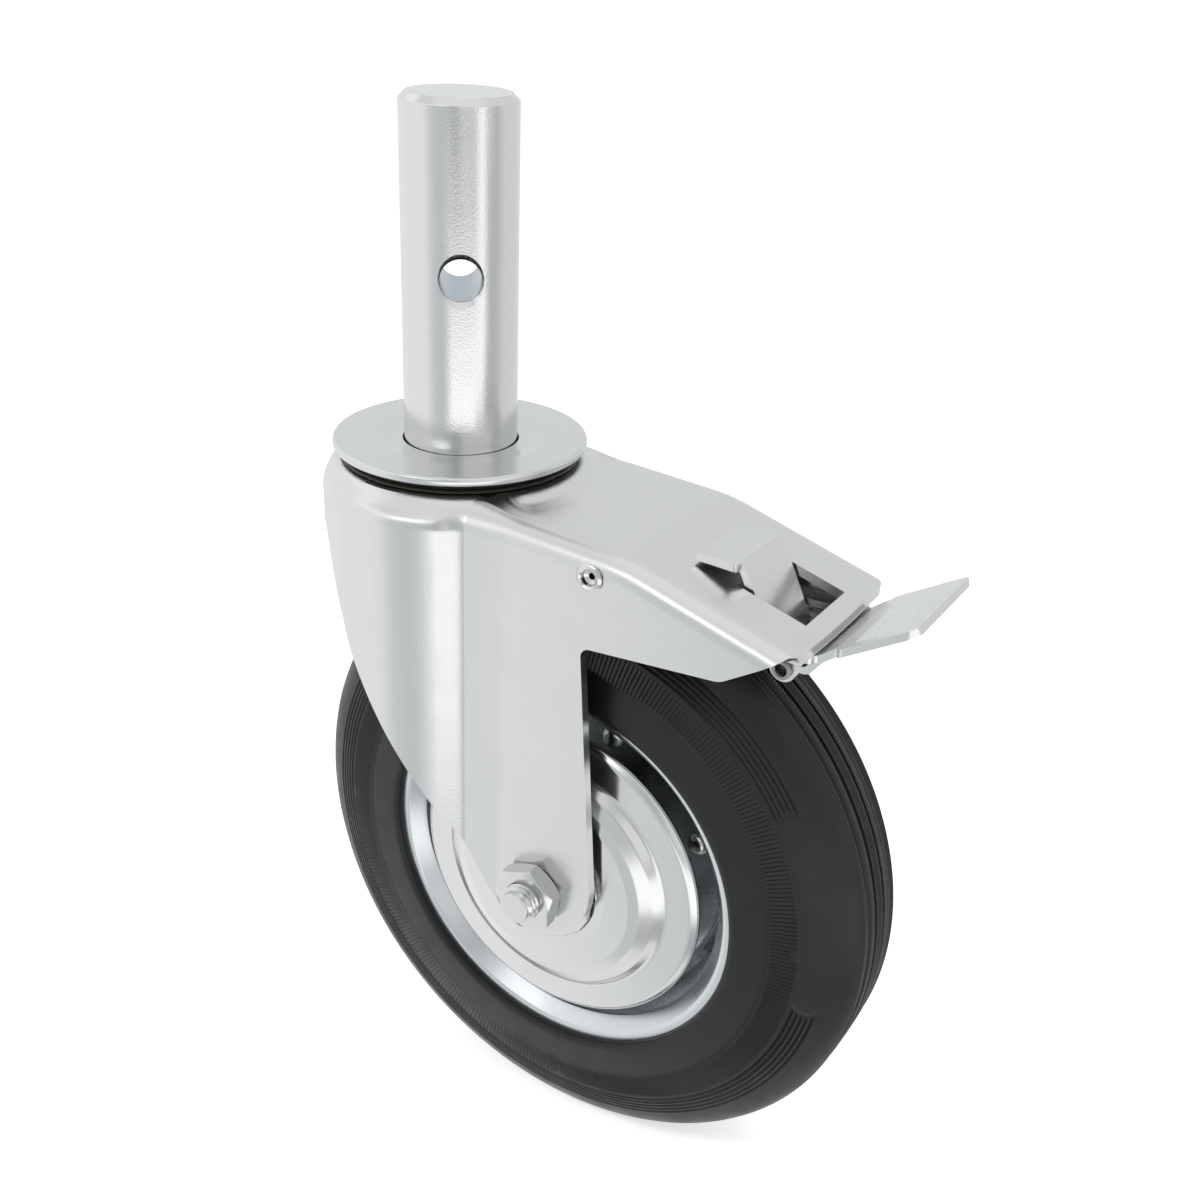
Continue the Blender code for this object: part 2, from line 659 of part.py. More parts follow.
def fork_side():
    # The cheeks seen from the side; above the hood the outline only clears the sheet
    past_end = HOOD_END_X + BEYOND
    clear = hood_height(HOOD_END_X) - 1.5 * FORK_SHEET
    past_front = -SKIRT_RADIUS - BEYOND
    leg_bottom = -WHEEL_DROP - LEG_END_DROP
    return rounded_outline([
        (past_front, BEYOND, 0), (past_end, BEYOND, 0), (past_end, clear, 0),
        (CHEEK_LOW_X, CHEEK_LOW_Z, 0), (LEG_TOP_X, LEG_TOP_Z, LEG_TOP_RADIUS),
        (WHEEL_TRAIL + LEG_REAR_REACH, leg_bottom, LEG_END_RADIUS),
        (WHEEL_TRAIL - LEG_FRONT_REACH, leg_bottom, LEG_END_RADIUS),
        (WHEEL_TRAIL - LEG_WAIST_REACH, LEG_WAIST_RISE - WHEEL_DROP, CHEEK_SWEEP_RADIUS),
        (CHEEK_SWEEP_X, CHEEK_SWEEP_Z, CHEEK_SWEEP_RADIUS),
        (SKIRT_EDGE_X, SKIRT_EDGE_Z, SKIRT_EDGE_RADIUS), (past_front, SKIRT_FRONT_Z, 0)])


def cheek_end_outline():
    # What the slanted lower edge takes off each cheek and its bead, seen from the side
    corner = (CHEEK_LOW_X, CHEEK_LOW_Z)
    slope = (CHEEK_END_Z - CHEEK_LOW_Z) / (HOOD_END_X - CHEEK_LOW_X)
    rear = (HOOD_END_X + BEYOND, CHEEK_END_Z + slope * BEYOND)
    edge = fillet((LEG_TOP_X, LEG_TOP_Z), corner, rear, CHEEK_CORNER_RADIUS, 4)
    return edge + [rear, (rear[0], CHEEK_LOW_Z - BEYOND), (CHEEK_LOW_X - CHEEK_CORNER_RADIUS, CHEEK_LOW_Z - BEYOND)]


def boss_profile():
    # The raised ring of the crown, with a ball track above and one below
    top, under = boss_top(), boss_underside()
    plate_under = CROWN_HEIGHT - FORK_SHEET
    profile = [(CROWN_HOLE_RADIUS, top)]
    profile += track(UPPER_TRACK_RADIUS, -1, top)
    profile += [(BOSS_RADIUS, top), (BOSS_RADIUS + BOSS_SHOULDER, top - 0.65 * BOSS_SHOULDER),
                (BOSS_FOOT_RADIUS - 0.1 * BOSS_SHOULDER, top - 2.1 * BOSS_SHOULDER),
                (BOSS_FOOT_RADIUS, plate_under + SEAT_GAP),
                (BOSS_RADIUS - 0.7 * BOSS_SHOULDER, plate_under + SEAT_GAP),
                (BOSS_RADIUS - 1.7 * BOSS_SHOULDER, under)]
    profile += track(LOWER_TRACK_RADIUS, 1, under)[::-1]
    profile += [(CROWN_HOLE_RADIUS, under)]
    return profile


def make_fork():
    fork = make_fork_shell()
    side = flat("fork_side", fork_side(), 4 * FORK_HALF_WIDTH, None, SWIVEL, rotation=AXLE_TURN)
    boolean(fork, as_cutter(side), "INTERSECT")
    for index, turn in enumerate((-1, 1)):
        width = 2 * HOOD_EDGE_RADIUS
        place = (0, turn * (FORK_HALF_WIDTH - HOOD_EDGE_RADIUS + width / 2), 0)
        trim = flat(f"cheek_end_{index}", cheek_end_outline(), width, None, SWIVEL, place, AXLE_TURN)
        boolean(fork, as_cutter(trim))
    opening = rod("crown_opening", BOSS_RADIUS - 0.9 * BOSS_SHOULDER, 10 * FORK_SHEET, (0, 0, CROWN_HEIGHT),
                  parent=SWIVEL, sides=FINE_SIDES)
    boolean(fork, as_cutter(opening))
    boss = turned("crown_boss", boss_profile(), FINE_SIDES, None, SWIVEL)
    boolean(fork, as_cutter(boss), "UNION")
    window = block("hood_window", (WINDOW_LENGTH, 2 * WINDOW_HALF_WIDTH, 2 * BEYOND),
                   ((WINDOW_FRONT_X + WINDOW_REAR_X) / 2, 0, hood_height(WINDOW_REAR_X)), SWIVEL)
    boolean(fork, as_cutter(window))
    for name, radius, x, z in (("rivet_hole", RIVET_RADIUS + SEAT_GAP, RIVET_X, RIVET_Z),
                               ("axle_hole", AXLE_RADIUS + SEAT_GAP, WHEEL_TRAIL, -WHEEL_DROP)):
        hole = rod(name, radius, 4 * FORK_HALF_WIDTH, (x, 0, z), AXLE_TURN, parent=SWIVEL)
        boolean(fork, as_cutter(hole))
    return fork


def make_brake_rivet():
    # A tube whose two ends are rolled over the cheeks
    seat = FORK_HALF_WIDTH + SEAT_GAP
    end = seat + RIVET_FLANGE_THICKNESS
    round_off = RIVET_FLANGE_THICKNESS / 2
    half = [(RIVET_BORE_RADIUS, 0), (RIVET_BORE_RADIUS, end - 2 * RIVET_MOUTH),
            (RIVET_BORE_RADIUS + RIVET_MOUTH, end),
            (RIVET_FLANGE_RADIUS - round_off, end), (RIVET_FLANGE_RADIUS, end - round_off),
            (RIVET_FLANGE_RADIUS, seat), (RIVET_RADIUS, seat)]
    profile = half + [(radius, -height) for radius, height in reversed(half[1:])]
    return turned("brake_rivet", profile, SMALL_SIDES, MATERIALS["bright"], SWIVEL,
                  (RIVET_X, 0, RIVET_Z), AXLE_TURN)


# Brake

def brake_line():
    # The middle of the brake plate's sheet, from the tongue to the eyes, about the rivet
    under_rivet = -RIVET_RADIUS - RUNNING_GAP - BRAKE_SHEET / 2
    eye_x, eye_z = PEDAL_PIN_X - RIVET_X, PEDAL_PIN_Z - RIVET_Z
    return [(-TONGUE_BEND_REACH, lock_ring_bottom() - RIVET_Z - RUNNING_GAP - BRAKE_SHEET / 2),
            (-EAR_BASE, under_rivet), (EAR_BASE * 0.7, under_rivet), (SHOE_START_X, SHOE_START_Z),
            (eye_x - EYE_LEAD, eye_z - 0.05 * EYE_LEAD), (eye_x, eye_z - 0.7 * EYE_RADIUS)]


def make_brake_plate():
    line = brake_line()
    tongue_tip = LOCK_RING_ROOT_RADIUS + RUNNING_GAP - RIVET_X
    line = [(tongue_tip, line[0][1])] + line
    full = 2 * EAR_OUTER_Y
    plate = flat("brake_plate", strip_outline(smooth_bends(line, BRAKE_BEND_RADIUS, 3), BRAKE_SHEET), full,
                 MATERIALS["steel"], BRAKE, rotation=AXLE_TURN)
    tooth = TONGUE_TOOTH_WIDTH / 2
    shoulder = LOCK_RING_RADIUS + RUNNING_GAP - RIVET_X
    rear = PEDAL_PIN_X - RIVET_X + 2 * EYE_RADIUS
    corner = BRAKE_BEND_RADIUS
    half_plan = [(2 * tongue_tip, tooth, 0), (shoulder, tooth, 0), (shoulder, TONGUE_HALF_WIDTH, corner),
                 (-TONGUE_SHOULDER_REACH, TONGUE_HALF_WIDTH, corner), (-EAR_BASE, EAR_OUTER_Y, corner),
                 (EAR_BASE, EAR_OUTER_Y, corner), (SHOE_WIDTH_X, BRAKE_HALF_WIDTH, corner),
                 (rear, BRAKE_HALF_WIDTH, 0)]
    plan = rounded_outline(half_plan + [(x, -y, radius) for x, y, radius in reversed(half_plan)], 3)
    blank = flat("brake_blank", plan, 4 * BEYOND, None, BRAKE)
    boolean(plate, as_cutter(blank), "INTERSECT")
    base = brake_line()[1][1]
    foot = 1.4 * EAR_RADIUS
    ear_outline = arc((0, 0), EAR_RADIUS, 0, 180, 8) + [(-foot, base), (foot, base)]
    for index, side in enumerate((-1, 1)):
        ear = flat(f"brake_ear_{index}", ear_outline, BRAKE_SHEET, None, BRAKE,
                   (0, side * (EAR_OUTER_Y - BRAKE_SHEET / 2), 0), AXLE_TURN)
        boolean(plate, as_cutter(ear), "UNION")
    eye_x, eye_z = PEDAL_PIN_X - RIVET_X, PEDAL_PIN_Z - RIVET_Z
    eye = rod("brake_eye", EYE_RADIUS, 2 * BRAKE_HALF_WIDTH, (eye_x, 0, eye_z), AXLE_TURN, parent=BRAKE)
    boolean(plate, as_cutter(eye), "UNION")
    # The pedal's loop passes between the two eyes
    slot_start = eye_x - PEDAL_FOOT_REACH - 1.4 * EYE_RADIUS
    slot_length = 2 * (rear - slot_start)
    slot = block("brake_slot", (slot_length, 2 * WINDOW_HALF_WIDTH, 2 * BEYOND),
                 (slot_start + slot_length / 2, 0, eye_z), BRAKE)
    boolean(plate, as_cutter(slot))
    for name, radius, place in (("ear_holes", RIVET_RADIUS + SEAT_GAP, (0, 0, 0)),
                                ("eye_hole", PEDAL_PIN_RADIUS + SEAT_GAP, (eye_x, 0, eye_z))):
        hole = rod(name, radius, 4 * FORK_HALF_WIDTH, place, AXLE_TURN, parent=BRAKE)
        boolean(plate, as_cutter(hole))
    return plate


def make_pedal_pin():
    lug_face = PEDAL_HALF_WIDTH + SEAT_GAP
    end = lug_face + PEDAL_PIN_HEAD
    round_off = 0.4 * PEDAL_PIN_HEAD
    profile = [(0, end), (PEDAL_PIN_HEAD_RADIUS - round_off, end), (PEDAL_PIN_HEAD_RADIUS, end - round_off),
               (PEDAL_PIN_HEAD_RADIUS, lug_face), (PEDAL_PIN_RADIUS, lug_face)]
    profile += [(radius, -height) for radius, height in reversed(profile)]
    place = (PEDAL_PIN_X - RIVET_X, 0, PEDAL_PIN_Z - RIVET_Z)
    return turned("pedal_pin", profile, SMALL_SIDES, MATERIALS["bright"], BRAKE, place, AXLE_TURN,
                  ring=False)


def saddle_height():
    # The middle of the sheet where it passes over the eyes
    return EYE_RADIUS + RUNNING_GAP + PEDAL_SHEET / 2


def tread_start(share):
    # A place between the tread's start and its knee
    start, knee = Vector((PEDAL_TREAD_X, saddle_height())), Vector((PEDAL_KNEE_X, PEDAL_KNEE_Z))
    return tuple(start.lerp(knee, share))


def pedal_arm_line():
    # The middle of the sheet about the pin: release flange, arm, loop under the pin and tread
    loop = -(PEDAL_PIN_RADIUS + RUNNING_GAP + PEDAL_SHEET / 2)
    return [(-PEDAL_FLANGE_REACH, PEDAL_FLANGE_RISE), (-PEDAL_CREASE_REACH, PEDAL_CREASE_RISE),
            (-PEDAL_FOOT_REACH, loop), (PEDAL_LOOP_REACH, loop), tread_start(0.2), tread_start(0.8)]


def pedal_tread_line():
    # The two cam tabs over the eyes, and the tread
    return [(-CAM_TAB_REACH, saddle_height()), tread_start(0), tread_start(1), (PEDAL_TIP_X, PEDAL_TIP_Z)]


def make_pedal():
    pedal = flat("pedal", strip_outline(smooth_bends(pedal_tread_line(), PEDAL_BEND_RADIUS, 3), PEDAL_SHEET),
                 2 * PEDAL_HALF_WIDTH, MATERIALS["zinc"], PEDAL, rotation=AXLE_TURN)
    half_plan = [(-2 * CAM_TAB_REACH, PEDAL_HALF_WIDTH, 0), (PEDAL_NECK_START, PEDAL_HALF_WIDTH, 0),
                 (PEDAL_NECK_START, PEDAL_NECK_HALF_WIDTH, 0), (PEDAL_NECK_END, PEDAL_NECK_HALF_WIDTH, 0),
                 (PEDAL_NECK_END, PEDAL_HALF_WIDTH, 0),
                 (PEDAL_TIP_X, PEDAL_HALF_WIDTH, PEDAL_TIP_RADIUS)]
    plan = rounded_outline(half_plan + [(x, -y, radius) for x, y, radius in reversed(half_plan)], 3)
    boolean(pedal, as_cutter(flat("pedal_blank", plan, 8 * BEYOND, None, PEDAL)), "INTERSECT")
    saddle = saddle_height()
    notch_end = tread_start(0.1)[0]
    notch = block("pedal_notch", (4 * CAM_TAB_REACH, 2 * WINDOW_HALF_WIDTH, BEYOND),
                  (notch_end - 2 * CAM_TAB_REACH, 0, saddle), PEDAL)
    boolean(pedal, as_cutter(notch))
    arm = flat("pedal_arm", strip_outline(smooth_bends(pedal_arm_line(), PEDAL_BEND_RADIUS, 3), PEDAL_SHEET),
               2 * PEDAL_ARM_HALF_WIDTH, None, PEDAL, rotation=AXLE_TURN)
    boolean(pedal, as_cutter(arm), "UNION")
    flange_line = pedal_arm_line()[:2]
    flange = flat("pedal_flange", strip_outline(flange_line, PEDAL_SHEET), 2 * PEDAL_FLANGE_HALF_WIDTH, None,
                  PEDAL, rotation=AXLE_TURN)
    boolean(pedal, as_cutter(flange), "UNION")
    base = PEDAL_LUG_BASE
    lug_outline = arc((0, 0), PEDAL_LUG_RADIUS, 180, 360, 8) + [(base, saddle), (-base, saddle)]
    for index, side in enumerate((-1, 1)):
        place = (0, side * (PEDAL_HALF_WIDTH - PEDAL_SHEET / 2), 0)
        lug = flat(f"pedal_lug_{index}", lug_outline, PEDAL_SHEET, None, PEDAL, place, AXLE_TURN)
        boolean(pedal, as_cutter(lug), "UNION")
    hole = rod("pedal_hole", PEDAL_PIN_RADIUS + SEAT_GAP, 4 * FORK_HALF_WIDTH, (0, 0, 0), AXLE_TURN, parent=PEDAL)
    boolean(pedal, as_cutter(hole))
    return pedal


# Wheel

def shoulder_width(radius):
    # Half the tyre's width at a radius: an elliptic side between tread and bead
    rise = (radius - TYRE_RADIUS + SHOULDER_DEPTH) / SHOULDER_DEPTH
    span = TYRE_HALF_WIDTH - TREAD_HALF_WIDTH
    return TREAD_HALF_WIDTH + span * math.sqrt(1 - rise * rise)


def make_tyre():
    bead = RIM_FACE - RIM_SHEET - SEAT_GAP
    seat = RIM_SEAT_RADIUS + RIM_SHEET + SEAT_GAP
    lip = RIM_LIP_RADIUS + RIM_SHEET / 2 + SEAT_GAP
    groove, reach = TREAD_GROOVE_Y, TREAD_GROOVE_HALF_WIDTH
    half = [(TYRE_RADIUS, 0), (TYRE_RADIUS, groove - reach), (TYRE_RADIUS - TREAD_GROOVE_DEPTH, groove),
            (TYRE_RADIUS, groove + reach), (TYRE_RADIUS, TREAD_HALF_WIDTH)]
    wall = TYRE_RADIUS - RIM_RADIUS - TYRE_BEAD_ROUND
    for share in (0.022, 0.076, 0.19, 0.35, 0.57, 0.81, 1):
        radius = TYRE_RADIUS - share * wall
        half.append((radius, shoulder_width(radius)))
    half += [(RIM_RADIUS + SEAT_GAP, bead), (lip + RIM_SHEET / 2, bead),
             (seat + 3 * SEAT_GAP, RIM_SHEET * 2.5), (seat, 0)]
    profile = [(radius, -height) for radius, height in reversed(half[:-1])] + half[1:]
    return turned("tyre", profile, TYRE_SIDES, MATERIALS["rubber"], WHEEL, rotation=AXLE_TURN)


def rim_half_profile():
    sheet, web = RIM_SHEET, RIM_WEB_GAP
    lip = RIM_LIP_RADIUS
    seat = RIM_SEAT_RADIUS
    hub = HUB_OUTER_RADIUS + SEAT_GAP
    return [(RIM_RADIUS, RIM_FACE - 0.15 * sheet), (RIM_RADIUS - 0.3 * sheet, RIM_FACE),
            (lip + 0.25 * sheet, RIM_FACE), (lip - 0.3 * sheet, RIM_FACE - 0.4 * sheet),
            (seat, web + 2 * sheet), (seat - 0.8 * sheet, web + sheet), (hub, web + sheet), (hub, web),
            (seat - 0.2 * sheet, web), (seat + 0.9 * sheet, web + sheet),
            (lip + 0.6 * sheet, RIM_FACE - 1.5 * sheet), (lip + 1.1 * sheet, RIM_FACE - sheet),
            (RIM_RADIUS, RIM_FACE - sheet)]


def disc_profile():
    # A domed disc with a rolled edge, a shoulder and a raised middle, by shares of its radius and depth
    hub = HUB_OUTER_RADIUS + SEAT_GAP
    places = ((0.99, 1), (1, 0.84), (0.982, 0.66), (0.927, 0.59), (0.855, 0.57), (0.78, 0.37),
              (0.745, 0.27), (0.665, 0.04), (0.634, 0))
    face = [(DISC_RADIUS * across, DISC_FACE - DISC_DEPTH * down) for across, down in places]
    back = [(radius - DISC_SHEET, height) for radius, height in face[:2]]
    back += [(radius - 0.3 * DISC_SHEET, height - DISC_SHEET) for radius, height in face[3:5] + face[6:8]]
    return face + [(hub, DISC_FACE), (hub, DISC_FACE - DISC_SHEET)] + back[::-1]


def make_rim_and_discs():
    made = []
    for name, turn in (("near", AXLE_TURN), ("far", FAR_TURN)):
        rim = turned(f"rim_half_{name}", rim_half_profile(), FINE_SIDES, MATERIALS["zinc"], WHEEL,
                     rotation=turn)
        made.append(rim)
        made.append(turned(f"hub_disc_{name}", disc_profile(), FINE_SIDES, MATERIALS["bright"], WHEEL,
                           rotation=turn))
        for index in range(RIM_RIVET_COUNT):
            angle = math.radians(RIM_RIVET_FIRST_DEG) + math.tau * index / RIM_RIVET_COUNT
            place = (RIM_RIVET_RADIUS * math.cos(angle), 0, RIM_RIVET_RADIUS * math.sin(angle))
            hole = rod(f"rim_hole_{name}_{index}", RIM_RIVET_SHANK + SEAT_GAP, BEYOND, place, AXLE_TURN,
                       sides=TINY_SIDES, parent=WHEEL)
            boolean(rim, as_cutter(hole))
    return made


def make_rim_rivets():
    seat = RIM_WEB_GAP + RIM_SHEET + SEAT_GAP
    height = RIM_RIVET_HEIGHT
    half = [(0, seat + height), (RIM_RIVET_DOME * 0.6, seat + height * 0.82),
            (RIM_RIVET_DOME, seat + height * 0.25), (RIM_RIVET_DOME, seat), (RIM_RIVET_SHANK, seat)]
    profile = half + [(radius, -place) for radius, place in reversed(half)]
    for index in range(RIM_RIVET_COUNT):
        angle = math.radians(RIM_RIVET_FIRST_DEG) + math.tau * index / RIM_RIVET_COUNT
        place = (RIM_RIVET_RADIUS * math.cos(angle), 0, RIM_RIVET_RADIUS * math.sin(angle))
        turned(f"rim_rivet_{index + 1}", profile, TINY_SIDES, MATERIALS["bright"], WHEEL, place, AXLE_TURN,
               ring=False)


def make_hub():
    half = HUB_HALF_LENGTH
    outer, bore = HUB_OUTER_RADIUS, HUB_BORE_RADIUS
    turned("hub_tube", [(bore, half), (outer, half), (outer, -half), (bore, -half)], MEDIUM_SIDES,
           MATERIALS["steel"], WHEEL, rotation=AXLE_TURN)
    for name, side in (("near", AXLE_TURN), ("far", FAR_TURN)):
        inner = half + SEAT_GAP
        face = inner + HUB_CAP_THICKNESS
        hole = SLEEVE_RADIUS + RUNNING_GAP
        spigot = bore - SEAT_GAP
        profile = [(hole, face), (outer - HUB_CAP_CHAMFER, face), (outer, face - HUB_CAP_CHAMFER),
                   (outer, inner), (spigot, inner), (spigot, inner - HUB_CAP_SPIGOT),
                   (hole, inner - HUB_CAP_SPIGOT)]
        turned(f"hub_cap_{name}", profile, MEDIUM_SIDES, MATERIALS["plastic"], WHEEL, rotation=side)
    return half


def roller_circle():
    return (SLEEVE_RADIUS + HUB_BORE_RADIUS) / 2


def make_rollers():
    circle = roller_circle()
    wall = ROLLER_CAGE_WALL
    half = ROLLER_LENGTH / 2 + ROLLER_CAGE_END
    cage = turned("roller_cage", [(circle - wall, half), (circle + wall, half), (circle + wall, -half),
                                  (circle - wall, -half)], MEDIUM_SIDES, MATERIALS["plastic"], WHEEL,
                  rotation=AXLE_TURN)
    pocket = ROLLER_RADIUS + SEAT_GAP
    for index in range(ROLLER_COUNT):
        angle = math.tau * (index + 0.5) / ROLLER_COUNT
        place = (circle * math.cos(angle), 0, circle * math.sin(angle))
        rod(f"roller_{index + 1}", ROLLER_RADIUS, ROLLER_LENGTH, place, AXLE_TURN,
            sides=TINY_SIDES, parent=WHEEL, material=MATERIALS["steel"])
        hole = rod(f"pocket_{index}", pocket, ROLLER_LENGTH + 2 * SEAT_GAP, place, AXLE_TURN,
                   sides=TINY_SIDES, parent=WHEEL)
        boolean(cage, as_cutter(hole))
    return cage


# Axle

def make_axle():
    inner_face = FORK_HALF_WIDTH - FORK_SHEET
    near_face = FORK_HALF_WIDTH + SEAT_GAP
    place = (WHEEL_TRAIL, 0, -WHEEL_DROP)
    half = inner_face - SEAT_GAP
    bore = AXLE_RADIUS + SEAT_GAP
    turned("axle_sleeve", [(bore, half), (SLEEVE_RADIUS, half), (SLEEVE_RADIUS, -half), (bore, -half)],
           MEDIUM_SIDES, MATERIALS["steel"], SWIVEL, place, AXLE_TURN)
    end = FORK_HALF_WIDTH + AXLE_STICK_OUT
    profile = [(0, end), (AXLE_RADIUS - AXLE_END_CHAMFER, end), (AXLE_RADIUS, end - AXLE_END_CHAMFER),
               (AXLE_RADIUS, -near_face - BOLT_HEAD_HEIGHT / 2), (0, -near_face - BOLT_HEAD_HEIGHT / 2)]
    shank = as_cutter(turned("axle_shank", profile, SMALL_SIDES + 4, None, SWIVEL, place, AXLE_TURN,
                             ring=False))
    head_place = (WHEEL_TRAIL, near_face + BOLT_HEAD_HEIGHT / 2, -WHEEL_DROP)
    bolt = hexagon_nut("axle_bolt", NUT_ACROSS_FLATS, BOLT_HEAD_HEIGHT, BOLT_HEAD_CHAMFER, 0, MATERIALS["zinc"],
                       SWIVEL, head_place, AXLE_TURN)
    boolean(bolt, shank, "UNION")
    nut_place = (WHEEL_TRAIL, -near_face - NUT_HEIGHT / 2, -WHEEL_DROP)
    turn = (math.pi / 2, -math.radians(NUT_TURN_DEG), 0)
    hexagon_nut("axle_nut", NUT_ACROSS_FLATS, NUT_HEIGHT, NUT_CHAMFER, bore, MATERIALS["zinc"], SWIVEL,
                nut_place, turn)
    return bolt


clear_scene()
PARTS = new_collection(COLLECTION_NAME)
CUTTERS = new_collection("cutters")
MATERIALS = make_materials()
HEAD = empty("head", (0, 0, 0))
SWIVEL = empty("swivel_axis", (0, 0, 0))
WHEEL = empty("wheel_axis", (WHEEL_TRAIL, 0, -WHEEL_DROP), SWIVEL)
BRAKE = empty("brake_axis", (RIVET_X, 0, RIVET_Z), SWIVEL)
PEDAL = empty("pedal_axis", (PEDAL_PIN_X - RIVET_X, 0, PEDAL_PIN_Z - RIVET_Z), BRAKE)

make_stem()
make_head_washer()
make_dust_seal()
make_ball_cage("upper_ball_cage", UPPER_TRACK_RADIUS, UPPER_BALL_COUNT,
               washer_underside() - RACE_GAP / 2, 5)
make_ball_cage("lower_ball_cage", LOWER_TRACK_RADIUS, LOWER_BALL_COUNT,
               boss_underside() - RACE_GAP / 2, 9)
make_lower_race_cup()
make_lock_ring()
make_king_nut()
make_fork()
make_brake_rivet()
make_brake_plate()
make_pedal_pin()
make_pedal()
make_axle()
make_tyre()
make_rim_and_discs()
make_rim_rivets()
make_hub()
make_rollers()
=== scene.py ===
import bmesh
import bpy
import math
from mathutils import Matrix, Vector


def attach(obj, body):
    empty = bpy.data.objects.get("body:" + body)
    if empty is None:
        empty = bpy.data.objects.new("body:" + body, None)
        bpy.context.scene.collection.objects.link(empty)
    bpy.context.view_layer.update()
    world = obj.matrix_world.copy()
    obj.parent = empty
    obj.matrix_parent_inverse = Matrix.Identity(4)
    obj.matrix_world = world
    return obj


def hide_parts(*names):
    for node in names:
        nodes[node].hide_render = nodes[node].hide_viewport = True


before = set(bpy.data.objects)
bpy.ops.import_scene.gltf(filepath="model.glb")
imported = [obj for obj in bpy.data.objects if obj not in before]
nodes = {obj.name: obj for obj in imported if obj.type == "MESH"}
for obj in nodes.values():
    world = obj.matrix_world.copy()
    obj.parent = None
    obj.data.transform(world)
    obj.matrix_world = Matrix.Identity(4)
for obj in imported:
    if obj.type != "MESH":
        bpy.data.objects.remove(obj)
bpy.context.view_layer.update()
mm = 0.001

# places that several pieces share, in millimetres, as the frame has them
castor = {"trail": 53.0, "drop": 127.6, "sheet": 3.0}


def stamp(words):
    print("castor:", words)


def turned(degrees, axis):
    return Matrix.Rotation(math.radians(degrees), 4, axis)


def moved(x, y, z):
    return Matrix.Translation((x * mm, y * mm, z * mm))


def along(x, z):
    # a plane across the castor: its own X and Y become X and Z
    return moved(x, 0, z) @ turned(90, "X")


wheelPlace = moved(castor["trail"], 0, -castor["drop"])
nearSide = wheelPlace @ turned(90, "X")
farSide = wheelPlace @ turned(-90, "X")


# small mesh tools

def addObject(name, data):
    item = bpy.data.objects.new(name, data)
    bpy.context.scene.collection.objects.link(item)
    return item


def looseObject(shape, name="cutter"):
    mesh = bpy.data.meshes.new(name)
    shape.to_mesh(mesh)
    shape.free()
    return addObject(name, mesh)


def bakeModifiers(helper):
    depsgraph = bpy.context.evaluated_depsgraph_get()
    mesh = bpy.data.meshes.new_from_object(helper.evaluated_get(depsgraph))
    bpy.data.objects.remove(helper, do_unlink=True)
    return mesh


def finishPiece(name, shape, body, material, stands=(), sharp=32):
    helper = looseObject(shape, name + "Helper")
    helper.data.materials.append(material)
    helper.data.shade_smooth()
    helper.data.set_sharp_from_angle(angle=math.radians(sharp))
    # normals weighted by area keep the flat faces flat beside their rounded edges
    helper.modifiers.new("even", "WEIGHTED_NORMAL").keep_sharp = True
    mesh = bakeModifiers(helper)
    mesh.name = name
    piece = addObject(name, mesh)
    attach(piece, body)
    if stands:
        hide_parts(*stands)


def carve(shape, cuts):
    # cuts are (bmesh, operation) pairs, taken one after another
    base = looseObject(shape, "carved")
    tools = []
    for cut, operation in cuts:
        tool = looseObject(cut)
        modifier = base.modifiers.new("cut", "BOOLEAN")
        modifier.operation = operation
        modifier.solver = "EXACT"
        modifier.object = tool
        tools.append(tool)
    mesh = bakeModifiers(base)
    for tool in tools:
        bpy.data.objects.remove(tool, do_unlink=True)
    result = bmesh.new()
    result.from_mesh(mesh)
    bmesh.ops.remove_doubles(result, verts=result.verts, dist=0.000004)
    return result


def soften(corners, steps=4, closed=True):
    # corners are (x, y) or (x, y, radius); each radius becomes an arc
    points = []
    count = len(corners)
    for index, corner in enumerate(corners):
        here = Vector(corner[:2])
        if len(corner) < 3 or corner[2] == 0 or (not closed and index in (0, count - 1)):
            points.append(tuple(here))
            continue
        before = (Vector(corners[index - 1][:2]) - here).normalized()
        after = (Vector(corners[(index + 1) % count][:2]) - here).normalized()
        half = before.angle(after) / 2
        centre = here + (before + after).normalized() * (corner[2] / math.sin(half))
        start = here + before * (corner[2] / math.tan(half)) - centre
        end = here + after * (corner[2] / math.tan(half)) - centre
        sweep = math.atan2(start.x * end.y - start.y * end.x, start.dot(end))
        for step in range(steps + 1):
            points.append(tuple(centre + Matrix.Rotation(sweep * step / steps, 2) @ start))
    return points


def mirrored(half):
    return [(radius, -height) for radius, height in reversed(half)]


def vertsOf(geom):
    return [item for item in geom if isinstance(item, bmesh.types.BMVert)]


def bridgeRings(shape, ring, after):
    for index in range(len(ring)):
        shape.faces.new((ring[index - 1], ring[index], after[index], after[index - 1]))


def lathe(profile, steps, place=Matrix(), closed=True):
    # profile points are (radius, height); an eighth is turned, then doubled three times
    shape = bmesh.new()
    verts = [shape.verts.new((radius * mm, 0, height * mm)) for radius, height in profile]
    pairs = list(zip(verts, verts[1:]))
    if closed:
        pairs.append((verts[-1], verts[0]))
    edges = [shape.edges.new(pair) for pair in pairs]
    bmesh.ops.spin(shape, geom=verts + edges, cent=(0, 0, 0), axis=(0, 0, 1), angle=math.tau / 8,
                   steps=steps // 8, use_merge=False)
    for share in (8, 4, 2):
        turn = Matrix.Rotation(math.tau / share, 4, "Z")
        whole = shape.verts[:] + shape.edges[:] + shape.faces[:]
        copied = bmesh.ops.duplicate(shape, geom=whole)["geom"]
        bmesh.ops.transform(shape, matrix=turn, verts=vertsOf(copied))
    bmesh.ops.remove_doubles(shape, verts=shape.verts, dist=0.000001)
    bmesh.ops.recalc_face_normals(shape, faces=shape.faces)
    bmesh.ops.transform(shape, matrix=place, verts=shape.verts)
    return shape


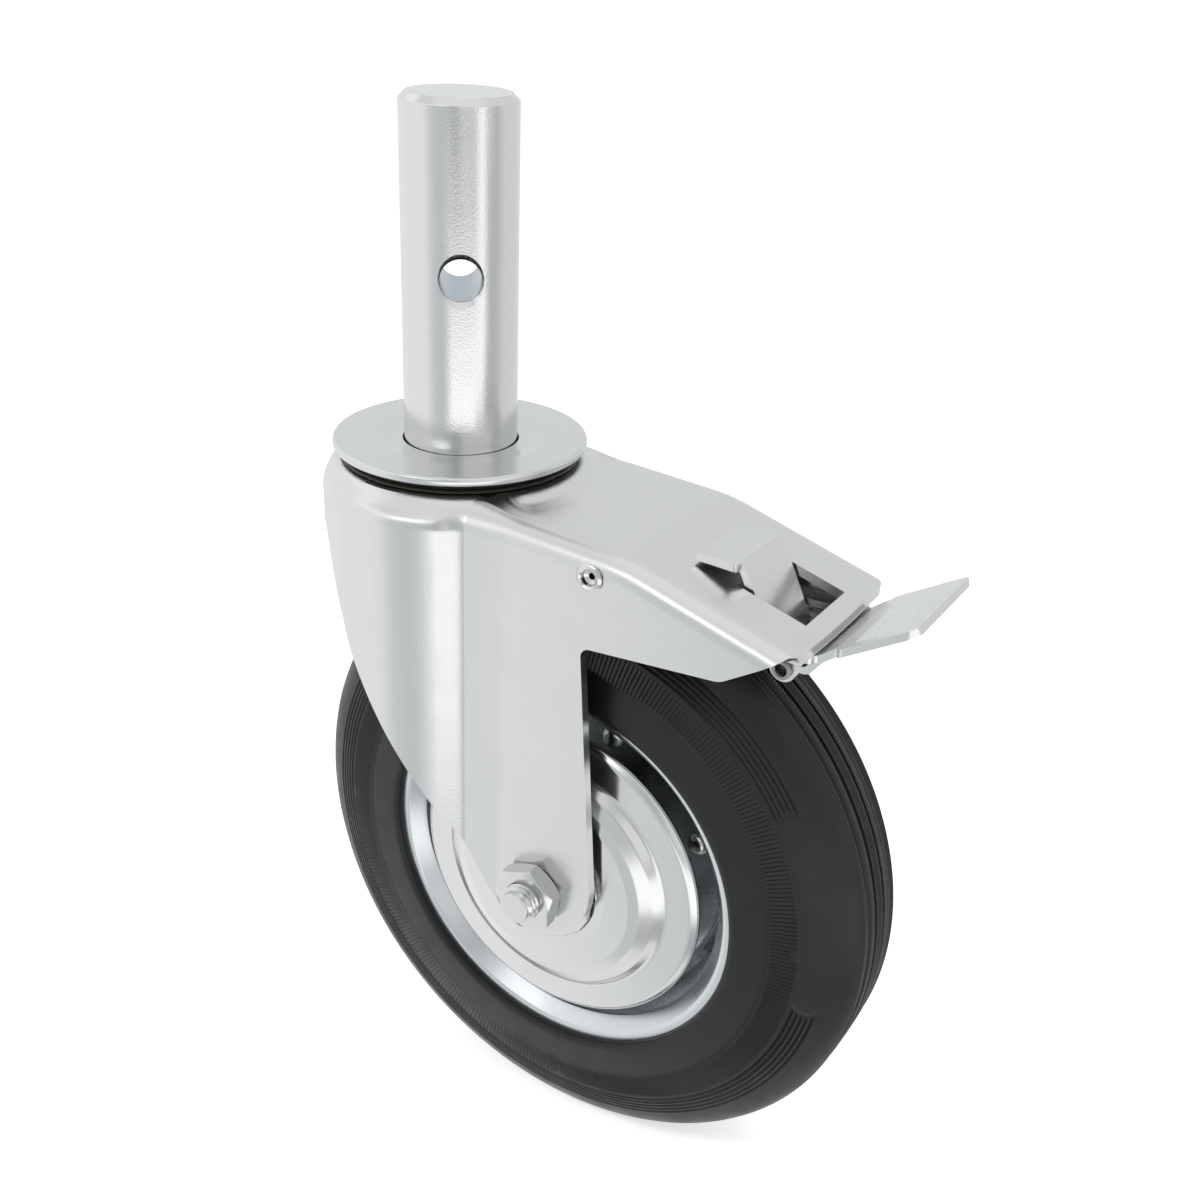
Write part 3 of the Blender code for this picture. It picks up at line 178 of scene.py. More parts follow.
def prism(outline, thickness, place=Matrix()):
    # a flat outline, thick to both sides of its own plane
    shape = bmesh.new()
    face = shape.faces.new([shape.verts.new((x * mm, y * mm, -thickness * mm / 2)) for x, y in outline])
    lifted = bmesh.ops.extrude_face_region(shape, geom=[face], use_keep_orig=True)["geom"]
    bmesh.ops.translate(shape, verts=vertsOf(lifted), vec=(0, 0, thickness * mm))
    bmesh.ops.recalc_face_normals(shape, faces=shape.faces)
    bmesh.ops.transform(shape, matrix=place, verts=shape.verts)
    return shape


def bar(radius, length, place, sides=48):
    shape = bmesh.new()
    bmesh.ops.create_cone(shape, cap_ends=True, segments=sides, radius1=radius * mm, radius2=radius * mm,
                          depth=length * mm, matrix=place)
    return shape


def box(low, high):
    shape = bmesh.new()
    middle = (Vector(low) + Vector(high)) / 2 * mm
    size = (Vector(high) - Vector(low)) * mm
    bmesh.ops.create_cube(shape, size=1, matrix=Matrix.Translation(middle) @ Matrix.Diagonal((*size, 1)))
    return shape


def join(*shapes):
    whole = shapes[0]
    for other in shapes[1:]:
        mesh = bpy.data.meshes.new("joined")
        other.to_mesh(mesh)
        other.free()
        whole.from_mesh(mesh)
        bpy.data.meshes.remove(mesh)
    return whole


def softenEdges(shape, width, segments=2, angle=50):
    # a small round on the edges that turn sharply
    sharp = [edge for edge in shape.edges if len(edge.link_faces) == 2
             and math.degrees(edge.calc_face_angle(0)) > angle]
    bmesh.ops.bevel(shape, geom=sharp, offset=width * mm, offset_type="OFFSET", segments=segments,
                    profile=0.5, affect="EDGES", material=-1, clamp_overlap=True)
    return shape


# finishes

def shaderOf(name):
    material = bpy.data.materials.new(name)
    material.use_nodes = True
    return material, material.node_tree, material.node_tree.nodes["Principled BSDF"]


def feed(tree, node, values):
    # a value is a number, a vector, a colour or another node's output
    for key, value in values.items():
        socket = node.inputs[key]
        if isinstance(value, bpy.types.NodeSocket):
            tree.links.new(value, socket)
        else:
            socket.default_value = (*value, 1) if socket.type == "RGBA" else value
    return node.outputs


def addMath(tree, operation, *values):
    node = tree.nodes.new("ShaderNodeMath")
    node.operation = operation
    return feed(tree, node, dict(enumerate(values)))["Value"]


def addNoise(tree, place, scale, detail=3.0, roughness=0.55):
    noise = tree.nodes.new("ShaderNodeTexNoise")
    return feed(tree, noise, {"Vector": place, "Scale": scale, "Detail": detail,
                              "Roughness": roughness})["Fac"]


def addRange(tree, source, low, high, fromLow=0.3, fromHigh=0.7, kind="LINEAR"):
    remap = tree.nodes.new("ShaderNodeMapRange")
    remap.interpolation_type = kind
    return feed(tree, remap, {"Value": source, "From Min": fromLow, "From Max": fromHigh, "To Min": low,
                              "To Max": high})["Result"]


def addMix(tree, fac, first, second):
    mix = tree.nodes.new("ShaderNodeMix")
    mix.data_type = "RGBA"
    return feed(tree, mix, {"Factor": fac, "A": first, "B": second})["Result"]


def addBump(tree, height, distance, under=None):
    bump = tree.nodes.new("ShaderNodeBump")
    if under is not None:
        tree.links.new(under, bump.inputs["Normal"])
    return feed(tree, bump, {"Height": height, "Distance": distance * mm, "Strength": 1.0})["Normal"]


def addRough(tree, gloss, look):
    return addRange(tree, gloss, look["rough"] - look["roughSpread"], look["rough"] + look["roughSpread"])


def placeOf(tree, scale=(1, 1, 1)):
    place = tree.nodes.new("ShaderNodeTexCoord").outputs["Object"]
    return feed(tree, tree.nodes.new("ShaderNodeMapping"), {"Vector": place, "Scale": scale})["Vector"]


def splitPlace(tree):
    return feed(tree, tree.nodes.new("ShaderNodeSeparateXYZ"), {"Vector": placeOf(tree)})


def addHoleShade(tree, tint, inner):
    # painted shade: a darker bluish tint inside the stem's cross hole, told by the distance from the axis
    away = tree.nodes.new("ShaderNodeVectorMath")
    away.operation = "LENGTH"
    distance = feed(tree, away, {0: placeOf(tree, (1, 1, 0))})["Value"]
    near = addRange(tree, distance, 1, 0, inner["from"] * mm, inner["to"] * mm)
    below = addRange(tree, splitPlace(tree)["Z"], 1, 0, (inner["below"] - 1) * mm, inner["below"] * mm)
    return addMix(tree, addMath(tree, "MULTIPLY", near, below), tint, inner["tint"])


def zincFinish(name, look):
    # bright zinc plate: a mottled tint, uneven gloss and fine grain
    material, tree, shader = shaderOf(name)
    place = placeOf(tree)
    tint = addMix(tree, addNoise(tree, place, look["mottleScale"]), look["tintA"], look["tintB"])
    # painted shade inside the stem's cross hole, where the look asks for it
    if "inner" in look:
        tint = addHoleShade(tree, tint, look["inner"])
    gloss = addNoise(tree, place, look["glossScale"], 4)
    wave = addNoise(tree, place, look["waveScale"], 2)
    grain = addNoise(tree, place, look["grainScale"], 2, 0.7)
    feed(tree, shader, {"Base Color": tint, "Metallic": 1.0, "Roughness": addRough(tree, gloss, look),
                        "Normal": addBump(tree, grain, look["grainDepth"],
                                          addBump(tree, wave, look["waveDepth"]))})
    return material


def rubberFinish(name, look):
    # dull rubber and grease: a faint bloom, uneven gloss and grain
    material, tree, shader = shaderOf(name)
    place = placeOf(tree)
    bloom = addNoise(tree, place, look["bloomScale"], 4)
    gloss = addNoise(tree, place, look["bloomScale"] * 2.3, 3)
    grain = addNoise(tree, place, look["grainScale"], 3, 0.6)
    feed(tree, shader, {"Base Color": addMix(tree, bloom, look["tintA"], look["tintB"]),
                        "Roughness": addRough(tree, gloss, look), "Specular IOR Level": look["specular"],
                        "Normal": addBump(tree, grain, look["grainDepth"])})
    return material


zincLook = {"tintA": (0.668, 0.671, 0.672), "tintB": (0.708, 0.71, 0.71), "mottleScale": 26,
            "rough": 0.16, "roughSpread": 0.03, "glossScale": 90, "waveScale": 60, "waveDepth": 0.03,
            "grainScale": 2000, "grainDepth": 0.014}

finishes = {
    "fork": zincFinish("forkPlate", {**zincLook, "rough": 0.25, "waveDepth": 0.01, "grainScale": 1300,
                                     "grainDepth": 0.035}),
    # the stem's inner tint is painted shade inside its cross hole
    "stem": zincFinish("stemPlate", {**zincLook, "rough": 0.13, "waveDepth": 0.012, "grainScale": 1700,
                                     "grainDepth": 0.055, "inner": {"from": 14.4, "to": 15.0, "below": 80,
                                                                   "tint": (0.34, 0.40, 0.45)}}),
    "washer": zincFinish("washerPlate", {**zincLook, "rough": 0.22, "tintB": (0.66, 0.68, 0.68)}),
    "disc": zincFinish("discPlate", {**zincLook, "rough": 0.2, "grainDepth": 0.005}),
    "rim": zincFinish("rimPlate", {**zincLook, "tintA": (0.60, 0.64, 0.655), "tintB": (0.66, 0.69, 0.70),
                                   "rough": 0.27, "grainDepth": 0.010}),
    "pedal": zincFinish("pedalPlate", {**zincLook, "rough": 0.24}),
    "bolt": zincFinish("boltPlate", {**zincLook, "tintA": (0.62, 0.63, 0.63), "rough": 0.17,
                                     "waveDepth": 0.02}),
    # painted highlight: a near-white tint on the tread's rolled ridges
    "ridgeHighlight": zincFinish("paintedRidgeHighlight", {**zincLook, "tintA": (0.86, 0.87, 0.87), "tintB": (0.93, 0.93, 0.93),
                                     "rough": 0.3}),
    "rivet": zincFinish("rivetPlate", {**zincLook, "rough": 0.18, "waveDepth": 0.02}),
    "spring": zincFinish("springSteel", {**zincLook, "tintA": (0.42, 0.42, 0.41), "tintB": (0.5, 0.5, 0.48),
                                         "rough": 0.34}),
    # dark steel for the bearing parts, also given to the pedal pin as painted shade
    "darkSteelAndShade": zincFinish("darkSteelAndPinShade", {**zincLook, "tintA": (0.3, 0.3, 0.29), "tintB": (0.38, 0.37, 0.35),
                                     "rough": 0.34}),
    "tyre": rubberFinish("tyreRubber", {"tintA": (0.006, 0.006, 0.006), "tintB": (0.012, 0.012, 0.012),
                                        "bloomScale": 38, "rough": 0.38, "roughSpread": 0.06,
                                        "grainScale": 1500, "grainDepth": 0.02, "specular": 0.37}),
    "grease": rubberFinish("greasedSeal", {"tintA": (0.008, 0.008, 0.006), "tintB": (0.03, 0.028, 0.018),
                                           "bloomScale": 300, "rough": 0.35, "roughSpread": 0.12,
                                           "grainScale": 700, "grainDepth": 0.12, "specular": 0.5}),
    "nylon": rubberFinish("whiteNylon", {"tintA": (0.7, 0.7, 0.67), "tintB": (0.76, 0.76, 0.73),
                                         "bloomScale": 60, "rough": 0.45, "roughSpread": 0.05,
                                         "grainScale": 1200, "grainDepth": 0.01, "specular": 0.4}),
}
stamp("finishes made")


# the stem, with its countersunk cross hole

stemSizes = {"radius": 17.2, "top": 101.6, "chamfer": 2.0, "foot": -4.3, "spigot": 10.0, "thread": 8.0,
             "cupTop": -12.0, "end": -26.9, "holeHeight": 51.3, "holeRadius": 6.1, "holeAngle": 38.0,
             "countersink": 1.9}


def makeStem(size):
    radius, top, cut = size["radius"], size["top"], size["chamfer"]
    thread = size["thread"] - 0.15
    profile = soften([(0, top), (radius - cut, top, 0.5), (radius, top - cut, 0.6),
                      (radius, size["foot"], 0.3), (size["spigot"], size["foot"]),
                      (size["spigot"], size["cupTop"]), (thread, size["cupTop"]),
                      (thread, size["end"], 0.8), (0, size["end"])], 4, False)
    body = lathe(profile, 360, closed=False)
    reach = radius + 5
    mouth = size["holeRadius"] + reach - radius + size["countersink"]
    inner = reach - mouth + size["holeRadius"]
    rings = []
    for step in range(9):      # the drill's faint rings
        height = inner - 0.6 - step * (2 * inner - 1.2) / 8
        rings += [(size["holeRadius"], height + 0.35), (size["holeRadius"] - 0.05, height)]
    drill = soften([(0, reach), (mouth, reach), (size["holeRadius"], inner, 0.4)] + rings
                   + [(size["holeRadius"], -inner, 0.4), (mouth, -reach), (0, -reach)], 3, False)
    turn = moved(0, 0, size["holeHeight"]) @ turned(size["holeAngle"], "Z") @ turned(90, "X")
    return carve(body, [(lathe(drill, 128, turn, closed=False), "DIFFERENCE")])


finishPiece("stemBar", makeStem(stemSizes), "head", finishes["stem"], ["stem"], 24)
stamp("stem made")


# the swivel head

headSizes = {"washerRadius": 38.75, "washerThick": 2.8, "washerHole": 17.6, "dishRadius": 24.5,
             "dish": 0.75, "sealTop": -3.1, "sealBottom": -5.6, "sealRadius": 37.0}


def makeWasher(size):
    bottom = -size["washerThick"]
    profile = soften([(size["washerHole"], -size["dish"], 0.35), (size["dishRadius"] - 3.5, -size["dish"], 4),
                      (size["dishRadius"] + 1.5, 0, 4), (size["washerRadius"], 0, 1.1),
                      (size["washerRadius"], bottom, 1.1), (size["washerHole"], bottom, 0.3)], 6)
    return lathe(profile, 256)


def makeSeal(size):
    top, bottom, radius = size["sealTop"], size["sealBottom"], size["sealRadius"]
    middle = (top + bottom) / 2
    shape = lathe([(radius - 3, top), (radius - 0.5, top), (radius, top - 0.4), (radius - 0.5, middle + 0.25),
                   (radius - 1.1, middle), (radius - 0.5, middle - 0.25), (radius, bottom + 0.4),
                   (radius - 0.5, bottom), (radius - 3, bottom)], 200)
    for vert in shape.verts:      # thick grease stands a little unevenly in the gap
        angle = math.atan2(vert.co.y, vert.co.x)
        if vert.co.xy.length > (radius - 1.3) * mm:
            push = 0.16 * math.sin(31 * angle) + 0.12 * math.sin(53 * angle + 1) + 0.08 * math.sin(17 * angle)
            vert.co.xy *= 1 - abs(push) * mm / vert.co.xy.length
    return shape


finishPiece("washerRing", makeWasher(headSizes), "head", finishes["washer"],
            ["head_washer"])
finishPiece("greasedGap", makeSeal(headSizes), "head", finishes["grease"], ["dust_seal"])
stamp("swivel head made")


# the fork, one pressed sheet

forkSizes = {"skirt": 42.0, "half": 34.0, "blend": 9.0, "bead": 6.5, "crown": -8.2, "bendX": 79.0,
             "endX": 131.3, "bendDrop": 2.2, "endDrop": 17.2, "bendSoft": 6.0, "collarTop": 2.35,
             "collarIn": 37.7, "collarOut": 41.6, "crownHole": 13.5, "ringReach": 56.0, "depth": 160.0,
             "windowX": (104.2, 125.4), "windowHalf": 12.9, "rivet": (69.6, -16.8), "rivetRadius": 3.0,
             "axleRadius": 6.3, "ear": 13.4, "edgeRound": 0.35, "edgeStart": (67.0, -39.3),
             "low": (111.0, -36.2), "lowSlope": 0.626, "corner": 9.0, "bulge": 2.6}


def smoothStep(low, high, value):
    share = min(1, max(0, (value - low) / (high - low)))
    return share * share * (3 - 2 * share)


def hoodHeight(size, x):
    # the flat crown, then the slope down to the hood's end, with a soft bend
    gentle = -size["bendDrop"] / (size["bendX"] - size["skirt"])
    steep = (size["bendDrop"] - size["endDrop"]) / (size["endX"] - size["bendX"])
    rise = size["crown"] - size["bendDrop"]
    soft = size["bendSoft"]
    offset = x - size["bendX"]
    if x < size["skirt"]:
        return size["crown"]
    if offset < -soft:
        return rise + gentle * offset
    if offset > soft:
        return rise + steep * offset
    share = (offset + soft) / (2 * soft)
    return rise + gentle * offset + (steep - gentle) * soft * share * share


def forkOutline(size, inset):
    # seen from above: the round skirt, two small blends, two cheeks and an end that is cut off later
    half, skirt, blend = size["half"] - inset, size["skirt"] - inset, size["blend"] + inset
    centreY = size["half"] + size["blend"]
    centreX = math.sqrt((size["skirt"] + size["blend"]) ** 2 - centreY ** 2)
    meet = math.atan2(centreY, centreX)
    end = size["endX"] + 20 - inset
    side = [(end, 0), (end, half * 0.5)]
    for step in range(7):
        angle = math.pi / 2 * step / 6
        side.append((end - 9 + 9 * math.cos(angle), half - 9 + 9 * math.sin(angle)))
    for x in range(134, 36, -5):
        side.append((x, half))
    for step in range(9):
        angle = -math.pi / 2 - (math.pi / 2 - meet) * step / 8
        side.append((centreX + blend * math.cos(angle), centreY + blend * math.sin(angle)))
    for step in range(1, 81):
        angle = meet + (math.pi - meet) * step / 80
        side.append((skirt * math.cos(angle), skirt * math.sin(angle)))
    return [Vector(point) for point in side + [(x, -y) for x, y in reversed(side[1:-1])]]


def makeForkSkin(size, inset, shape):
    # one side of the sheet: rings from the crown hole to the bead, then the wall
    outline = forkOutline(size, inset)
    count = len(outline)
    bead = size["bead"] - inset
    hole, far = size["crownHole"], size["ringReach"]
    rims = shape.verts.layers.float["rim"]
    skins = shape.verts.layers.float["skin"]
    columns = []
    for index, point in enumerate(outline):
        tangent = outline[(index + 1) % count] - outline[index - 1]
        aside = Vector((-tangent.y, tangent.x)).normalized()
        inner = point + aside * bead
        reach = min(far, inner.length * 0.985)
        stretch = (reach - hole) / (far - hole)
        heading = inner.normalized()
        column = []
        for radius in [hole, 22, 30, 34, 35.4] + [36.2 + 0.6 * step for step in range(11)] + [44, 48, far]:
            column.append((heading * (hole + (radius - hole) * stretch), bead))
        if inner.length > far + 1:
            near = heading * far
            for share in (0.2, 0.4, 0.6, 0.8):
                column.append((near.lerp(inner, share), bead))
        else:
            column += [(heading * inner.length * (0.985 + 0.003 * step), bead) for step in range(1, 5)]
        for step in range(11):
            rim = bead * (1 - math.sin(math.pi / 2 * step / 10))
            column.append((point + aside * rim, rim))
        columns.append(column)
    rings = []
    for row in range(len(columns[0])):
        ring = []
        for place, rim in (column[row] for column in columns):
            vert = shape.verts.new((place.x * mm, place.y * mm, 0))
            vert[rims] = rim
            vert[skins] = inset
            ring.append(vert)
        rings.append(ring)
    low = []
    for vert in rings[-1]:
        below = shape.verts.new((vert.co.x, vert.co.y, -size["depth"] * mm))
        below[rims] = -1
        below[skins] = inset
        low.append(below)
    rings.append(low)
    for ring, after in zip(rings, rings[1:]):
        bridgeRings(shape, ring, after)
    return rings[0], rings[-1]


def makeForkSheet(size):
    shape = bmesh.new()
    rims = shape.verts.layers.float.new("rim")
    skins = shape.verts.layers.float.new("skin")
    outer = makeForkSkin(size, 0, shape)
    inner = makeForkSkin(size, castor["sheet"], shape)
    for first, second in zip(outer, inner):
        bridgeRings(shape, first, second)
    for x in [size["bendX"] - 7 + step for step in range(15)] + [62, 90, 100, 110, 120, 130]:
        bmesh.ops.bisect_plane(shape, geom=shape.verts[:] + shape.edges[:] + shape.faces[:],
                               plane_co=(x * mm, 0, 0), plane_no=(1, 0, 0), dist=1e-7)
    for vert in shape.verts:
        rim, inset = vert[rims], vert[skins]
        bead = size["bead"] - inset
        x = vert.co.x / mm
        # the skirt stands out a little before it turns into the cheeks
        swell = smoothStep(-30, 8, x) * (1 - smoothStep(20, 32, x)) * (1 - smoothStep(0, bead, rim))
        vert.co.y += math.copysign(size["bulge"] * swell * mm, vert.co.y)
        if rim < 0 or vert.co.z < -0.001:
            continue
        drop = bead - math.sqrt(max(0, bead * bead - (bead - rim) ** 2))
        reach = vert.co.xy.length / mm + inset * 0.75
        toHood = smoothStep(0, 1, vert.co.x / max(0.001, vert.co.xy.length))
        collar = size["collarTop"] * (1 - smoothStep(size["collarIn"], size["collarOut"] + 4 * toHood, reach))
        vert.co.z = (hoodHeight(size, vert.co.x / mm) - inset - drop + collar) * mm
    bmesh.ops.recalc_face_normals(shape, faces=shape.faces)
    return shape


def forkSide(size):
    # the cheeks seen from the side
    bottom = -castor["drop"] - size["ear"]
    return soften([(-60, 20), (151, 20), (151, -29.9), size["low"], (*size["edgeStart"], 3),
                   (74.2, bottom, 19), (41, bottom, 19), (25, -116, 60), (-10, -60.5, 60), (-26, -25.5, 7),
                   (-60, -23)], 16)


def cheekEnd(size, side):
    # what the slanted lower edge takes off a cheek; it fades out where the bead meets the flat hood
    lowX, lowZ = size["low"]
    far = 40
    edge = soften([size["edgeStart"], (lowX, lowZ, 7), (lowX + far, lowZ + far * size["lowSlope"])], 6, False)
    outline = edge[1:] + [(lowX + far, lowZ - 30), (edge[1][0], lowZ - 30)]
    shape = bmesh.new()
    rings = []
    for y in (21, 22.5, 24, 25.5, 27, 28.5, 30, 60):
        drop = 12 * (1 - smoothStep(22, 30, y))
        rings.append([shape.verts.new((x * mm, side * y * mm, (z - drop) * mm)) for x, z in outline])
    shape.faces.new(rings[0])
    shape.faces.new(rings[-1])
    for ring, after in zip(rings, rings[1:]):
        bridgeRings(shape, ring, after)
    bmesh.ops.recalc_face_normals(shape, faces=shape.faces)
    return shape


def makeFork(size):
    low, high = size["windowX"]
    half = size["half"] + 0.2
    rivetX, rivetZ = size["rivet"]
    # the hood's end, slightly bowed and round at its corners
    end = [(size["endX"] - 0.012 * (y / 4) ** 2, y) for y in range(-24, 25, 4)]
    edgeX = size["endX"] - 0.43
    plan = soften([(-60, -60), (100, -60), (100, -half), (edgeX, -half, size["corner"])]
                  + end + [(edgeX, half, size["corner"]), (100, half), (100, 60), (-60, 60)], 8)
    cuts = [(prism(forkSide(size), 200, along(0, 0)), "INTERSECT"),
            (prism(plan, 400), "INTERSECT"),
            (cheekEnd(size, -1), "DIFFERENCE"),
            (cheekEnd(size, 1), "DIFFERENCE"),
            (box((low, -size["windowHalf"], -60), (high, size["windowHalf"], 20)), "DIFFERENCE"),
            (bar(size["rivetRadius"], 200, along(rivetX, rivetZ), 40), "DIFFERENCE"),
            (bar(size["axleRadius"], 200, along(castor["trail"], -castor["drop"]), 48), "DIFFERENCE")]
    return softenEdges(carve(makeForkSheet(size), cuts), size["edgeRound"])


finishPiece("forkSheet", makeFork(forkSizes), "swivel_fork", finishes["fork"], ["fork"], 30)
stamp("fork made")


# the hollow rivet that the brake plate rocks on

rivetSizes = {"bore": 0.9, "mouth": 2.3, "shank": 2.7, "flange": 4.1, "seat": 34.2, "end": 35.4}


def makeRivet(size):
    mouth, flange, seat, end = size["mouth"], size["flange"], size["seat"], size["end"]
    half = [(size["bore"], end - 2.6), (size["bore"] + 0.1, end - 2.3), (mouth - 0.1, end - 1.7),
            (mouth + 0.1, end - 0.4), (mouth + 0.6, end), (flange - 0.6, end - 0.12), (flange, end - 0.6),
            (flange - 0.1, seat + 0.1), (flange - 0.5, seat), (size["shank"], seat)]
    return lathe(half + mirrored(half), 96, along(*forkSizes["rivet"]))


finishPiece("hollowRivet", makeRivet(rivetSizes), "swivel_fork", finishes["rivet"],
            ["brake_rivet"], 40)


# the axle bolt and its nut

axleSizes = {"radius": 6.0, "root": 5.05, "pitch": 1.75, "end": 45.0, "chamfer": 1.1, "flats": 19.0,
             "nutHeight": 6.0, "nutBore": 5.3, "headHeight": 7.5, "seat": 34.3, "nutTurn": 50.0,
             "threadFrom": 33.0, "turns": 6.2}


def makeHex(flats, height, place, bore=0.0, headOnly=False):
    corner = flats / math.sqrt(3)
    half = height / 2
    blank = bar(corner, height + 4, Matrix(), 6)
    ease = [(0, half), (flats / 2 - 0.35, half), (corner + 0.4, half - 1.35),
            (corner + 0.4, -half + 1.35), (flats / 2 - 0.35, -half), (0, -half)]
    if headOnly:
        ease[-3:] = [(corner + 0.4, -half), (0, -half)]
    cuts = [(lathe(ease, 192, closed=False), "INTERSECT")]
    if bore:
        hole = soften([(0, half + 1), (bore + 1.9, half + 1), (bore, half - 0.9), (bore, -half + 0.9),
                       (bore + 1.9, -half - 1), (0, -half - 1)], 3, False)
        cuts.append((lathe(hole, 96, closed=False), "DIFFERENCE"))
    shape = carve(blank, cuts)
    bmesh.ops.transform(shape, matrix=place, verts=shape.verts)
    return shape


def makeThread(size):
    # one ridge wound round the bolt's end by a spin that also climbs
    shape = bmesh.new()
    pitch, root, crest, start = size["pitch"], size["root"] - 0.1, size["radius"] - 0.02, size["threadFrom"]
    ridge = [(root, -pitch * 0.47), (crest, -pitch * 0.09), (crest, pitch * 0.09), (root, pitch * 0.47)]
    verts = [shape.verts.new((radius * mm, 0, (start + height) * mm)) for radius, height in ridge]
    edges = [shape.edges.new((verts[index - 1], verts[index])) for index in range(4)]
    face = shape.faces.new(verts)
    steps = 72
    bmesh.ops.spin(shape, geom=[face] + verts + edges, cent=(0, 0, 0), axis=(0, 0, 1),
                   dvec=(0, 0, pitch * mm / steps), angle=math.tau * size["turns"],
                   steps=int(size["turns"] * steps))
    bmesh.ops.recalc_face_normals(shape, faces=shape.faces)
    limit, around = size["end"] - 0.35, size["radius"] + 0.2
    trim = lathe([(0, limit), (size["radius"] - size["chamfer"], limit), (around, limit - 1.5),
                  (around, start - 3), (0, start - 3)], 96, closed=False)
    cut = carve(shape, [(trim, "INTERSECT")])
    bmesh.ops.transform(cut, matrix=nearSide, verts=cut.verts)
    return cut


def makeBolt(size):
    radius, root, end, seat = size["radius"], size["root"], size["end"], size["seat"]
    core = soften([(0, end), (radius - size["chamfer"], end, 0.25), (root, end - 0.55, 0.2),
                   (root, size["threadFrom"]), (radius, size["threadFrom"] - 1), (radius, -seat - 1),
                   (0, -seat - 1)], 3, False)
    head = makeHex(size["flats"], size["headHeight"],
                   farSide @ moved(0, 0, seat + size["headHeight"] / 2), headOnly=True)
    return join(lathe(core, 96, nearSide, closed=False), makeThread(size), head)


def makeNut(size):
    place = nearSide @ moved(0, 0, size["seat"] + size["nutHeight"] / 2) @ turned(size["nutTurn"], "Z")
    return makeHex(size["flats"], size["nutHeight"], place, size["nutBore"])


finishPiece("axleBolt", makeBolt(axleSizes), "swivel_fork", finishes["bolt"],
            ["axle_bolt"])
finishPiece("axleNut", makeNut(axleSizes), "swivel_fork", finishes["bolt"],
            ["axle_nut"], 26)
stamp("axle made")


# the brake pedal, one pressed sheet: tread and cam tabs, a loop under the pin, arm and release flange

pedalSizes = {"pin": (122.8, -34.4), "sheet": 2.2, "half": 20.0, "neck": 17.8, "arm": 12.0,
              "flange": 14.0, "flangeEnd": (-31.3, 22.5), "saddle": 4.6, "bend": (14.5, 8.5),
              "tip": (36.2, 21.4), "bendRadius": 2.4, "gap": 12.9, "lug": 4.0, "hole": 2.1, "ridges": 10,
              "ridgeFrom": 6.0, "ridgeStep": 1.33, "ridgeRadius": 0.2, "ridgeNear": -17.2, "ridgeFar": 5.4,
              "ridgeTaper": 0.85, "ridgeLift": 0.02}


def ribbon(line, thickness):
    # the outline of a sheet whose middle follows the line
    left, right = [], []
    for index, point in enumerate(line):
        here = Vector(point)
        ahead = Vector(line[min(index + 1, len(line) - 1)]) - here
        behind = here - Vector(line[max(index - 1, 0)])
        ahead = (ahead if ahead.length else behind).normalized()
        behind = (behind if behind.length else ahead).normalized()
        across = (ahead + behind).normalized().orthogonal()
        reach = thickness / 2 / across.dot(ahead.orthogonal())
        left.append(tuple(here + across * reach))
        right.append(tuple(here - across * reach))
    return left + right[::-1]


def treadLine(size):
    saddle, bend = size["saddle"], size["bendRadius"]
    return soften([(-14, saddle), (9.3, saddle, bend), (*size["bend"], bend), size["tip"]], 6, False)


def armLine(size):
    bend = size["bendRadius"]
    return soften([size["flangeEnd"], (-18.2, 21.9, bend), (-6.1, -3.4, bend), (3.6, -3.4, bend),
                   (10.3, 5.4, bend), (13.4, 7.7)], 6, False)


def makeFlange(size, place, above):
    half, arm = size["flange"], size["arm"]
    outline = soften([(-40, -half), (-19.3, -half, 1.2), (-18.3, -arm), (-10, -10), (-10, 10),
                      (-18.3, arm), (-19.3, half, 1.2), (-40, half)])
    blank = prism(ribbon([size["flangeEnd"], (-18.8, 21.93)], size["sheet"]), 2 * half, place)
    return carve(blank, [(prism(outline, 80, above), "INTERSECT")])


def makePedal(size):
    pinX, pinZ = size["pin"]
    sheet, half, neck = size["sheet"], size["half"], size["neck"]
    place = along(pinX, pinZ)
    above = moved(pinX, 0, pinZ)
    blank = prism(ribbon(treadLine(size), sheet), 2 * half + 2, place)
    side = [(-20, half), (7.6, half, 1.2), (8.4, neck, 1.2), (14.4, neck, 1.2), (15.2, half, 1.8),
            (36.9, half, 3.8)]
    other = [(corner[0], -corner[1], *corner[2:]) for corner in reversed(side)]
    gap = size["gap"]
    cuts = [(prism(soften(side + other, 6), 160, above), "INTERSECT"),
            (box((pinX - 30, -gap, pinZ + 1), (pinX - 0.5, gap, pinZ + 5.9)), "DIFFERENCE"),
            (prism(ribbon(armLine(size), sheet), 2 * size["arm"], place), "UNION"),
            (makeFlange(size, place, above), "UNION")]
    lug = [(size["lug"] * math.cos(math.radians(angle)), size["lug"] * math.sin(math.radians(angle)))
           for angle in range(180, 361, 10)] + [(5.2, size["saddle"]), (-5.2, size["saddle"])]
    for side in (-1, 1):
        cuts.append((prism(lug, sheet, moved(0, side * (half - sheet / 2), 0) @ place), "UNION"))
    cuts.append((bar(size["hole"], 80, place, 32), "DIFFERENCE"))
    return softenEdges(carve(blank, cuts), 0.3)


def makeRidges(size):
    # low rolled ridges across the tread, each a little shorter than the last
    bendX, bendZ = size["bend"]
    slope = math.atan2(size["tip"][1] - bendZ, size["tip"][0] - bendX)
    tread = along(*size["pin"]) @ moved(bendX, bendZ, 0) @ Matrix.Rotation(slope, 4, "Z")
    ridges = []
    for index in range(size["ridges"]):
        low, high = size["ridgeNear"], size["ridgeFar"] - size["ridgeTaper"] * index
        spot = moved(size["ridgeFrom"] + index * size["ridgeStep"], size["sheet"] / 2 + size["ridgeLift"],
                     -(low + high) / 2)
        ridges.append(bar(size["ridgeRadius"], high - low, tread @ spot, 12))
    return join(*ridges)


